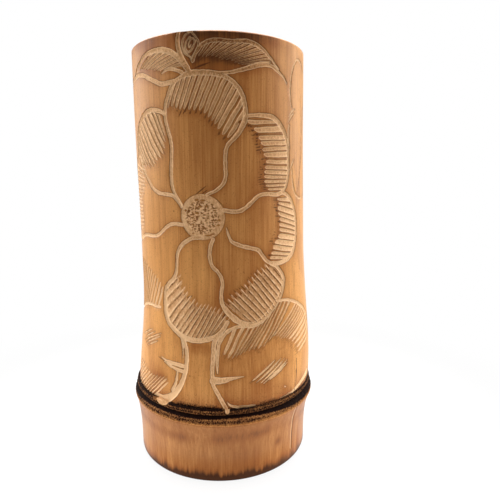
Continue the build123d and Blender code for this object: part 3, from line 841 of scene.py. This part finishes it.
bare_brown_and_shade = times(tree, brown, stroke_cut, 0.55)
bare_brown_and_shade = scaled(tree, slope(tree, toast, 0.3, 1.1), 1.1, bare_brown_and_shade)
bare_brown_and_shade = scaled(tree, pit, 1.1, bare_brown_and_shade)
bare_brown_and_shade = scaled(tree, disc_cut, 0.06, bare_brown_and_shade)
aside, _, up = add(tree, "SeparateXYZ", {0: place}).outputs
# the bare wood is browner towards the top, partly as painted shade where less light falls, and paler to the
# left and right of the middle
bare_brown_and_shade = math(tree, "ADD", bare_brown_and_shade, slope(tree, up, 70, 240, -0.12, 0.36))
bare_brown_and_shade = math(tree, "ADD", bare_brown_and_shade, slope(tree, aside, 24, 42, 0, -0.35))
bare_brown_and_shade = math(tree, "ADD", bare_brown_and_shade, slope(tree, aside, -12, -20, 0, -0.40))
bare_brown_and_shade = scaled(tree, times(tree, painted_crest_shadow, fade), 1.0, bare_brown_and_shade)
bare = use_group(tree, bare_bamboo, {"Place": place, "Brown": bare_brown_and_shade})
bare_colour = lay(tree, rim_share, bare["Colour"], srgb(240, 200, 154))

# the skin ridges between strokes are darkened, partly by burning and partly as painted shade between the
# cuts
ridge = times(tree, slope(tree, off, 0.45, 0.75), in_hatch, burn, slope(tree, brown, 0.3, 0.6, 1, 0))
dash = math(tree, "FRACT", scaled(tree, turn, 2.0, times(tree, along, 0.05)))
dash = math(tree, "ABSOLUTE", scaled(tree, dash, 2.0, -1.0))
cluster = times(tree, slope(tree, noise(tree, place, 0.16, detail=1), 0.46, 0.56), slope(tree, aside, 0, 8))
dash = times(tree, slope(tree, dash, 0.35, 0.8), cluster)
point = times(tree, slope(tree, off, 0.45, 0.85), slope(tree, along, -2.6, -1.2))
patchy = slope(tree, noise(tree, place, 0.5), 0.40, 0.56)
tick = times(
    tree, slope(tree, along, -5.0, -3.2), slope(tree, along, -0.4, 1.4, 1, 0), largest(tree, dash, point),
    slope(tree, hatch, -0.2, 0.4), patchy, burn)
smoke = times(
    tree, slope(tree, along, -6.0, -0.5), slope(tree, hatch, -1.0, 2.0), burn,
    slope(tree, along, 0.0, 3.0, 0.4, 0.1))
patchy = slope(tree, noise(tree, place, 0.25), 0.35, 0.6, 0.4, 1)
# a thin dark line on the skin just outside each gouged line, partly burn and partly painted shadow
outside = times(
    tree, slope(tree, line, -0.75, -0.05), patchy, slope(tree, aside, 36, 44, 0.55, 0.12))
disc_edge = slope(tree, disc_place, -0.9, -0.1)
halo = slope(tree, line, -4.0, 0.0, 0, 0.12)
slip = slope(tree, mark(tree, "slip_in"), -0.25, 0.1, 0, 0.95)
# burnt marks together with the painted shade of ridges and the painted shadow outside the lines
burn_and_painted_shade = largest(tree, outside, times(tree, ridge, 0.5), slip, tick, times(tree, disc_edge, 0.4))
skin_toast_and_sheen = math(tree, "ADD", toast, math(tree, "ADD", halo, times(tree, smoke, 0.5)))
# pale mottled patches towards the right-hand side, a painted sheen of the varnish
painted_sheen = times(
    tree, slope(tree, noise(tree, place, 0.11, (1, 1, 0.35)), 0.48, 0.62, 0, 0.60),
    slope(tree, aside, 40, 48))
skin_toast_and_sheen = math(tree, "SUBTRACT", skin_toast_and_sheen, painted_sheen)
skin = use_group(tree, bamboo_skin, {"Place": place, "Toast": skin_toast_and_sheen, "Char": mark(tree, "char")})
skin_colour = lay(tree, times(tree, burn_and_painted_shade, 0.85), skin["Colour"], srgb(72, 40, 20))
shaved = largest(tree, cut, largest(tree, painted_crest_highlight, painted_crest_shadow))
colour = lay(tree, shaved, skin_colour, bare_colour)

crack = in_crack(tree)
colour = lay(tree, times(tree, crack, 0.8), colour, srgb(60, 36, 22))

roughness = add(tree, "Mix", {0: cut, 2: skin["Roughness"], 3: bare["Roughness"]}).outputs[0]
height = times(tree, skin["Height"], math(tree, "SUBTRACT", 1.0, cut))
height = scaled(tree, cut, math(tree, "ADD", bare["Height"], -0.25), height)
height = scaled(tree, pit, -0.15, height)
height = scaled(tree, crack, -0.3, height)
shade(tree, bsdf, colour, roughness, height, Coat_Weight=0.20, Coat_Roughness=0.3, Coat_IOR=1.22)

# sawn end: pale ground wood with dark fibre bundles, smaller and closer together towards the skin
end_grain, tree, bsdf, place = start_material("end_grain")
flat, from_axis = level_place(tree, place)
depth = slope(tree, from_axis, BORE_RADIUS, MOUTH_RADIUS)
bundles = add(tree, "TexVoronoi", {"Vector": flat, "Scale": 1.1})
close = add(tree, "TexVoronoi", {"Vector": flat, "Scale": 2.2})
coarse_dot = slope(tree, bundles.outputs["Distance"], 0.34, 0.22)
fine_dot = slope(tree, close.outputs["Distance"], 0.5, 0.3)
spots = add(tree, "Mix", {0: slope(tree, depth, 0.5, 0.8), 2: coarse_dot, 3: fine_dot}).outputs[0]
bare = use_group(tree, bare_bamboo, {"Place": place, "Brown": scaled(tree, depth, 0.25, 0.05)})
colour = lay(tree, times(tree, spots, 0.6), bare["Colour"], srgb(138, 88, 50))
height = scaled(tree, spots, 0.06, times(tree, bare["Height"], 0.4))
shade(tree, bsdf, colour, bare["Roughness"], height, Coat_Weight=0.1, Coat_Roughness=0.35)

s, z = arc[None], rise[:, None]
fields = {
    # what each mark holds on the skin, and what it holds on the rim, the bore and the lower end
    "line_in": (line_in, FAR), "disc_in": (disc_in, FAR), "turns": (turns, 0), "stroke_in": (stroke_in, FAR),
    "hatch_in": (hatch_in, FAR), "open_share": (open_share, -1), "burn": (burn_field, 0),
    "slip_in": (slip_in, FAR), "brown": (brown_field, 0), "toast": (browning(s, z), 0.1),
    "crack": (from_crack(s, z), -9), "char": (charring(s, z), 0),
}
marks = {name: whole_wall(field, elsewhere) for name, (field, elsewhere) in fields.items()}
upper_culm = make_piece("upper_culm_carved", points, polygons, (culm_skin, end_grain), marks, uses)
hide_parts("upper_culm")
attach(upper_culm, "root")


# The node's band
# Bamboo swells where a leaf sheath grew. The band has the sheath's scar below, a lip above and a groove
# between them. It was burnt with a torch, so it is charred, cracked and dull.
NODE_HEIGHT = 42.5
BAND_LOW = 37.0
SHOULDER_RADIUS = MOUTH_RADIUS + SHOULDER_SWELL
BAND_OUTLINE = (
    # radius past the shoulder, and height above the groove
    (2.214, -5.5), (2.62, -5.0), (2.7, -4.5), (2.69, -3.6), (2.62, -2.8), (2.3, -1.7), (1.5, -0.8), (0.3, 0),
    (0.85, 0.7), (1.25, 1.3), (1.4, 1.8), (1.35, 2.5), (1.1, 3.2), (0.56, 4.0),
)
BAND_TOAST = 0.35         # how brown the band is where it isn't charred
BURNT_DEPTH = 0.45
CRUST_DEPTH = 0.06        # of the unevenness all over the band
BARE_DEPTH = 0.4
BARE_ENDS = (
    # the left stem's heel and the right stem's end, which run down over the upper lip: middle and half sizes
    (-33.0, 46.6, 4.6, 2.6), (4.6, 46.4, 1.3, 2.6),
)


def round_faces(rows, columns, poles=False):
    """Quads between rows of points that run round the axis. The last row joins the first, or with poles
    a fan joins each end row to one of two points that are numbered after all rows."""
    j, i = np.divmod(np.arange((rows - (1 if poles else 0)) * columns), columns)
    up, right = (j + 1) % rows, (i + 1) % columns
    quads = np.stack([j * columns + i, j * columns + right, up * columns + right, up * columns + i], 1)
    if not poles:
        return [quads]
    i = np.arange(columns)
    right, top = (i + 1) % columns, (rows - 1) * columns
    low_fan = np.stack([np.full(columns, rows * columns), right, i], 1)
    high_fan = np.stack([np.full(columns, rows * columns + 1), top + i, top + right], 1)
    return [quads, low_fan, high_fan]


outline = smooth_path(BAND_OUTLINE, 4)
inner = walk((outline[-1, 0] + SHOULDER_RADIUS, CULM_LOW), (BORE_RADIUS, CULM_LOW), (BORE_RADIUS, BAND_LOW),
             (outline[0, 0] + SHOULDER_RADIUS, BAND_LOW), steps=(8, 10, 8))
row_r = np.concatenate([outline[:-1, 0] + SHOULDER_RADIUS, inner[:, 0]])
row_z = np.concatenate([outline[:-1, 1] + NODE_HEIGHT, inner[:, 1]])
skin_rows = len(outline) - 1
s, z = np.meshgrid(arc, row_z)
char = charring(s, z)
burnt = eased(char, 0.3, 0.9) * (0.5 + 0.5 * lumps(21, s, z * 1.4, length=2.4, waves=14))
burnt = BURNT_DEPTH * burnt + CRUST_DEPTH * (0.5 + 0.5 * lumps(22, s, z, length=5))
edge = np.minimum(np.arange(len(row_z)), skin_rows - 1 - np.arange(len(row_z))) / 3
bare_in = np.max([
    1 - np.hypot((s - middle_s) / half_s, (z - middle_z) / half_z)
    for middle_s, middle_z, half_s, half_z in BARE_ENDS], axis=0)
burnt = np.maximum(burnt, BARE_DEPTH * eased(bare_in, 0, 0.3))
radius = row_r[:, None] - burnt * np.clip(edge, 0, 1)[:, None]
points = round_points(angle, radius, z)


def marked_skin(tree, place):
    """The bamboo's skin, as brown and as charred as the marks on the mesh say."""
    return use_group(tree, bamboo_skin, {
        "Place": place, "Toast": mark(tree, "toast"), "Char": mark(tree, "char")})


scorched_node, tree, bsdf, place = start_material("scorched_skin")
skin = marked_skin(tree, place)
crust = noise(tree, place, 1.5, detail=4, roughness=0.7)
height = scaled(tree, times(tree, crust, skin["Char"]), 0.35, skin["Height"])
crack = in_crack(tree)
height = scaled(tree, crack, -0.3, height)
colour = lay(tree, times(tree, crack, 0.8), skin["Colour"], srgb(40, 24, 16))
bare = use_group(tree, bare_bamboo, {"Place": place, "Brown": 0.1})
wobble = math(tree, "SUBTRACT", noise(tree, place, 0.9), 0.5)
gouged = scaled(tree, wobble, 0.3, mark(tree, "bare_in"))
colour = lay(tree, slope(tree, gouged, 0.0, 0.14), colour, bare["Colour"])
shade(tree, bsdf, colour, skin["Roughness"], height)

faces = round_faces(len(row_z), COLUMNS)
node_band = make_piece("node_band_burnt", points, faces, (scorched_node,), {
    "toast": np.full(s.shape, BAND_TOAST), "char": char, "crack": from_crack(s, z),
    "bare_in": np.clip(bare_in, FAR, 1)})
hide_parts("node_band")
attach(node_band, "root")


# The foot
# A stub of the next internode, sawn off square below. It flares up into the node, and its bottom edge is
# worn round and dark from standing on wet tables. The drying crack runs down through it.
FOOT_RADIUS = 55.3
FOOT_LAND = 3.0
FOOT_EDGE = 1.4
FOOT_BORE_EDGE = 0.6
FOOT_SHARES = ((0.00, -0.30), (0.02, -0.32), (0.09, -0.34), (0.25, -0.34), (0.53, -0.26), (1.00, 0.00))
FOOT_COLUMNS = 528
FLARE_STEPS = 48          # up the flared skin, across its upper end and down its bore
TOP_STEPS = 8
INNER_STEPS = 24
CRACK_DEPTH = 0.35
CRACK_REACH = 0.4         # how far from its middle the crack fades out
FOOT_TOAST = 0.34         # how brown the foot is apart from its bands, its worn edge and its knot
RED_BAND = 28             # height of the reddish band's middle, and of the one under the node
UNDER_BAND = 35
KNOT = (36, 18.5, 2.2, 2.5)    # middle, half width and half height
flare = SHOULDER_RADIUS + BAND_OUTLINE[0][0] - FOOT_RADIUS
flare_path = smooth_path([
    (FOOT_LAND + (BAND_LOW - FOOT_LAND) * step / 5, FOOT_RADIUS + out * flare, side * BEND)
    for step, (out, side) in enumerate(FOOT_SHARES)
])
edge = rounded((FOOT_RADIUS - FOOT_EDGE, FOOT_EDGE), FOOT_EDGE, -np.pi / 2, 8)
up = walk((FOOT_RADIUS, FOOT_EDGE), (FOOT_RADIUS, FOOT_LAND), steps=(3,))
heights = np.linspace(FOOT_LAND, BAND_LOW, FLARE_STEPS)
flared = np.stack([np.interp(heights, flare_path[:, 0], flare_path[:, 1]), heights], 1)
inner = walk((flared[-1, 0], BAND_LOW), (BORE_RADIUS, BAND_LOW), (BORE_RADIUS, FOOT_BORE_EDGE),
             steps=(TOP_STEPS, INNER_STEPS))
bore_edge = rounded((BORE_RADIUS + FOOT_BORE_EDGE, FOOT_BORE_EDGE), FOOT_BORE_EDGE, np.pi, 4)
under = walk((BORE_RADIUS + FOOT_BORE_EDGE, 0), (FOOT_RADIUS - FOOT_EDGE, 0), steps=(12,))
outline = np.concatenate([edge, up, flared[:-1], inner, bore_edge, under])
skin_rows = len(edge) + len(up) + len(flared) - 1
foot_arc = round_turn(FOOT_COLUMNS) * MARKING_RADIUS
s, z = np.meshgrid(foot_arc, outline[:, 1])
off_crack = from_crack(s, z)
in_skin = np.clip(np.minimum(np.arange(len(outline)) - 4, skin_rows - 1 - np.arange(len(outline))) / 3, 0, 1)
sink = 0.10 * (0.5 + 0.5 * lumps(31, s * 3, z, length=40)) + CRACK_DEPTH * bell(off_crack, 0, CRACK_REACH)
radius = outline[:, :1] - sink * in_skin[:, None]
foot_angle = foot_arc / MARKING_RADIUS
share_out = np.clip((outline[:, 0] - BORE_RADIUS) / (FOOT_RADIUS - BORE_RADIUS - FOOT_EDGE), 0, 1)
middle = (np.interp(outline[:, 1], flare_path[:, 0], flare_path[:, 2]) * share_out)[:, None]
points = round_points(foot_angle, radius, z, middle)
smudges = 0.5 + 0.5 * lumps(33, s, z * 0.3, length=26)
red_band = 0.26 * bell(z - RED_BAND, 1.2 * np.sin(s / 17), 3.2) * smudges
ragged = 5.4 + 1.5 * lumps(34, s, 0 * z, length=6, waves=14) + 1.2 * lumps(35, s, 0 * z, length=2.2)
worn = 0.95 * np.exp(-((z / ragged) ** 3)) * (1 - 0.5 * eased(np.abs(s), 18, 58))
worn += 0.8 * bell(z, 0, 1.5)
knot = 0.5 * spot(s, z, *KNOT)
browner = 0.26 * bell(s, 0, 34) * (0.35 + 0.65 * eased(22 - z, 0, 14))
under_band = 0.12 * bell(z, UNDER_BAND, 4)
# the foot is painted browner towards both sides, a painted shade that keeps the side light down there
foot_toast_and_shade = FOOT_TOAST + 0.10 * eased(np.abs(s), 12, 60) + 2 * red_band + worn + knot + browner + under_band

foot_skin, tree, bsdf, place = start_material("foot_skin_finish")
skin = marked_skin(tree, place)
crack_place = mark(tree, "crack")
crack = in_crack(tree, 0.4, 0.15)
lip = times(tree, slope(tree, crack_place, -1.9, -1.3), slope(tree, crack_place, -0.9, -0.5, 1, 0))
_, _, up = add(tree, "SeparateXYZ", {0: place}).outputs
colour = lay(tree, slope(tree, up, 8, 18, 0, 0.16), skin["Colour"], srgb(172, 134, 104))
colour = lay(tree, times(tree, lip, 0.45), colour, srgb(232, 190, 142))
colour = lay(tree, times(tree, crack, 0.8), colour, srgb(60, 36, 22))
shade(tree, bsdf, colour, skin["Roughness"], skin["Height"],
      Coat_Weight=0.35, Coat_Roughness=0.3, Coat_IOR=1.22)

raw_end, tree, bsdf, place = start_material("raw_bamboo_inside")
fibre = noise(tree, place, 1.2, (1, 1, 0.03), 3, 0.6)
bare = use_group(tree, bare_bamboo, {"Place": place, "Brown": times(tree, fibre, 0.9)})
shade(tree, bsdf, bare["Colour"], bare["Roughness"], bare["Height"])
faces = round_faces(len(outline), FOOT_COLUMNS)
row_of = faces[0].min(1) // FOOT_COLUMNS
sawn = row_of >= skin_rows + TOP_STEPS + INNER_STEPS
inside = (row_of >= skin_rows) & ~sawn
foot = make_piece("foot_worn", points, faces, (foot_skin, raw_end, end_grain), {
    "toast": foot_toast_and_shade, "char": charring(s, z) + 0.5 * bell(z, 0, 0.7), "crack": off_crack,
}, inside * 1 + sawn * 2)
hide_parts("foot_culm")
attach(foot, "root")


# The plate across the node
# The woody wall that grows across the culm at every node. It is the vase's floor, and is left raw below,
# where it shows rings and fibres that run in from the culm's wall.
PLATE_TOP = 45.8
PLATE_LOW = 38.8
PLATE_DISH = 1.6
PLATE_ARCH = 1.8
DISC_COLUMNS = 240
RING_HEIGHT = 0.12
RING_RATE = 1.9           # of the rings' wave towards the wall, in radians to the millimetre


def dished(radius, rise, steps):
    """Radius and height of points from near a disc's middle out to its rim, which is at height 0. The face
    is a parabola that lies lower by rise in the middle."""
    r = np.linspace(0, radius, steps + 1)[1:]
    return np.stack([r, rise * ((r / radius) ** 2 - 1)], 1)


def disc_points(outline, columns, low_pole, high_pole):
    """Rings of points round the axis, one for each radius and height of an outline, and the two poles."""
    rings = round_points(round_turn(columns), outline[:, :1], outline[:, 1:])
    return np.concatenate([rings, [(0, 0, low_pole), (0, 0, high_pole)]])


low_face = dished(BORE_RADIUS, -PLATE_ARCH, 40) + (0, PLATE_LOW)
high_face = dished(BORE_RADIUS, PLATE_DISH, 24)[::-1] + (0, PLATE_TOP)
side = walk((BORE_RADIUS, PLATE_LOW), (BORE_RADIUS, PLATE_TOP), steps=(6,))[1:]
outline = np.concatenate([low_face, side, high_face])
r = outline[:, 0]
below = (outline[:, 1] < PLATE_LOW + PLATE_ARCH + 0.1) & (r < BORE_RADIUS - 1)
rings = RING_HEIGHT * (1 + np.sin(r * RING_RATE + 0.6 * np.sin(r))) * below
outline[:, 1] += rings * np.clip(r / 4, 0, 1)
points = disc_points(outline, DISC_COLUMNS, PLATE_LOW + PLATE_ARCH, PLATE_TOP - PLATE_DISH)

raw_plate, tree, bsdf, place = start_material("raw_bamboo_plate")
_, from_axis = level_place(tree, place)
warp = noise(tree, place, 0.07)
ring = math(tree, "SINE", scaled(tree, warp, 14, times(tree, from_axis, RING_RATE)))
cloud = noise(tree, place, 0.12, detail=4, roughness=0.65)
brown = scaled(tree, ring, 0.12, times(tree, cloud, 0.9))
bare = use_group(tree, bare_bamboo, {"Place": place, "Brown": brown})
height = scaled(tree, ring, 0.06, bare["Height"])
shade(tree, bsdf, bare["Colour"], bare["Roughness"], height)
faces = round_faces(len(outline), DISC_COLUMNS, True)
floor_plate = make_piece("floor_plate_grown", points, faces, (raw_plate,))
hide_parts("floor_plate")
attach(floor_plate, "root")


# The sealing coat
# Clear varnish brushed thickly over the bore and the floor, so that the vase holds water. It shows the
# wood behind it, has runs and brush marks, and pools where the wall meets the floor.
COAT = 0.5
COAT_POOL = 3.0
COAT_RADIUS = BORE_RADIUS - COAT
COAT_HIGH = CULM_HIGH - RIM_EDGE
COAT_LIP = COAT / 2       # radius of its rounded upper edge
WELL_DISH = PLATE_DISH * 0.87
RUN_DEPTH = 0.16          # how much thinner the coat is between its runs
under = dished(BORE_RADIUS, PLATE_DISH, 20) + (0, PLATE_TOP)
back = walk((BORE_RADIUS, PLATE_TOP), (BORE_RADIUS, COAT_HIGH), steps=(30,))[1:]
turn = np.linspace(0, np.pi, 7)
lip = np.stack([(BORE_RADIUS + COAT_RADIUS) / 2 + COAT_LIP * np.cos(turn),
                COAT_HIGH - COAT_LIP + COAT_LIP * np.sin(turn)], 1)
pool_low = PLATE_TOP + COAT
front = walk((COAT_RADIUS, COAT_HIGH - COAT_LIP), (COAT_RADIUS, pool_low + COAT_POOL), steps=(160,))[1:]
turn = np.linspace(0, np.pi / 2, 9)
pool = np.stack([
    COAT_RADIUS - COAT_POOL + COAT_POOL * np.cos(turn), pool_low + COAT_POOL * (1 - np.sin(turn))], 1)
well = dished(COAT_RADIUS - COAT_POOL, WELL_DISH, 30)[::-1][1:] + (0, pool_low)
outline = np.concatenate([under, back, lip, front, pool, well])
points = disc_points(outline, DISC_COLUMNS, PLATE_TOP - PLATE_DISH, pool_low - WELL_DISH)
turn = np.arctan2(points[:-2, 0], -points[:-2, 1])
r, z = np.hypot(points[:-2, 0], points[:-2, 1]), points[:-2, 2]
on_wall = (np.abs(r - COAT_RADIUS) < 0.01) * eased(COAT_HIGH - z, 0.3, 3)
on_wall *= eased(z, pool_low + COAT_POOL, pool_low + COAT_POOL + 4)
runs = RUN_DEPTH * (0.5 + 0.5 * lumps(41, turn * 60, z * 0.12, length=7)) * on_wall
points[:-2, :2] *= (1 + runs / r)[:, None]

clear_coat, tree, bsdf, place = start_material("varnished_bore")
fibre = noise(tree, place, 0.9, (1, 1, 0.03), 3, 0.6)
cloud = noise(tree, place, 0.06, (1, 1, 0.3), 3, 0.6)
depth = scaled(tree, fibre, 0.9, times(tree, cloud, 0.9))
colour = lay(tree, slope(tree, depth, 0.6, 1.25), srgb(216, 162, 100), srgb(150, 96, 50))
brush = noise(tree, place, 0.35, (1, 1, 0.06))
shade(tree, bsdf, colour, scaled(tree, brush, 0.15, 0.12), times(tree, brush, 0.25),
      Coat_Weight=0.6, Coat_Roughness=0.08)
faces = round_faces(len(outline), DISC_COLUMNS, True)
sealing_coat = make_piece("sealing_coat_brushed", points, faces, (clear_coat,))
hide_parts("sealing_coat")
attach(sealing_coat, "root")


# The table
# A plain white sheet that the vase stands on, as in a product photograph. It keeps the soft shadow.
TABLE_HALF = 6            # metres
sheet = bpy.data.meshes.new("table")
corners = [(x * TABLE_HALF, y * TABLE_HALF, 0) for x, y in ((-1, -1), (1, -1), (1, 1), (-1, 1))]
sheet.from_pydata(corners, [], [(0, 1, 2, 3)])
table = bpy.data.objects.new("table", sheet)
bpy.context.scene.collection.objects.link(table)
paper, tree, bsdf, place = start_material("white_paper")
distance = vector(tree, "LENGTH", place)
tree.links.new(lay(tree, slope(tree, distance, 120, 280), srgb(244, 242, 240), srgb(96, 95, 94)),
               bsdf.inputs["Base Color"])
bsdf.inputs["Roughness"].default_value = 0.8
path = add(tree, "LightPath").outputs
seen = largest(tree, path["Is Camera Ray"], path["Is Glossy Ray"], path["Is Transmission Ray"])
white = add(tree, "Emission", {"Color": (1, 1, 1, 1), "Strength": 1.0})
seen = times(tree, seen, slope(tree, distance, 100, 300, 0.86, 1.0))
both = add(tree, "MixShader", {0: seen, 1: bsdf.outputs[0], 2: white.outputs[0]})
tree.links.new(both.outputs[0], tree.nodes["Material Output"].inputs["Surface"])
sheet.materials.append(paper)


# The light
# A white room that is dim towards the camera. A broad soft light hangs over the table a little behind the
# vase, and one stands on each side, a little behind it too, all without hard edges. The levels are set for
# the front, so the sides and the back of the vase are lit above a plain level.
FRONT_LEVEL = 0.18
BACK_LEVEL = 0.78
REAR_DROP = -0.25
SIDE_LEVEL = 4.40
SIDE_WAY = (0.988, 0.155)
TOP_LEVEL = 5.20
TOP_WAY = (0, 0.45, 0.89)
world = bpy.data.worlds.new("white_room")
bpy.context.scene.world = world
world.use_nodes = True
tree = world.node_tree
way = add(tree, "TexCoord").outputs["Generated"]
across, back, _ = add(tree, "SeparateXYZ", {0: way}).outputs
upwards = vector(tree, "DOT_PRODUCT", way, TOP_WAY)
level = slope(tree, back, -1.0, 0.4, FRONT_LEVEL, BACK_LEVEL)
level = math(tree, "ADD", level, slope(tree, back, 0.5, 1.0, 0, REAR_DROP))
sideways = times(tree, math(tree, "ABSOLUTE", across), SIDE_WAY[0])
sideways = scaled(tree, back, SIDE_WAY[1], sideways)
level = math(tree, "ADD", level, slope(tree, sideways, 0.66, 1.0, 0, SIDE_LEVEL))
level = math(tree, "ADD", level, slope(tree, upwards, 0.6, 1.0, 0, TOP_LEVEL))
seen = add(tree, "LightPath").outputs["Is Camera Ray"]
level = add(tree, "Mix", {0: seen, 2: level, 3: 1.0}).outputs[0]
tree.links.new(level, tree.nodes["Background"].inputs["Strength"])
tree.nodes["Background"].inputs["Color"].default_value = (1, 1, 1, 1)


# The camera
# It stands in front, a little right of the vase's middle, and looks slightly down.
PICTURE_WIDTH = 500       # pixels
FOCAL_PIXELS = 457.16
CAMERA_PLACE = (0.01785, -0.29794, 0.17702)
CAMERA_DOWN = 0.1606      # radians below level
lens = bpy.data.cameras.new("camera")
lens.sensor_width = 36
lens.lens = FOCAL_PIXELS / PICTURE_WIDTH * lens.sensor_width
lens.clip_start = 0.01
camera = bpy.data.objects.new("camera", lens)
camera.location = CAMERA_PLACE
camera.rotation_euler = (np.pi / 2 - CAMERA_DOWN, 0, 0)
bpy.context.scene.collection.objects.link(camera)
bpy.context.scene.camera = camera
bpy.context.scene.view_settings.view_transform = "Standard"
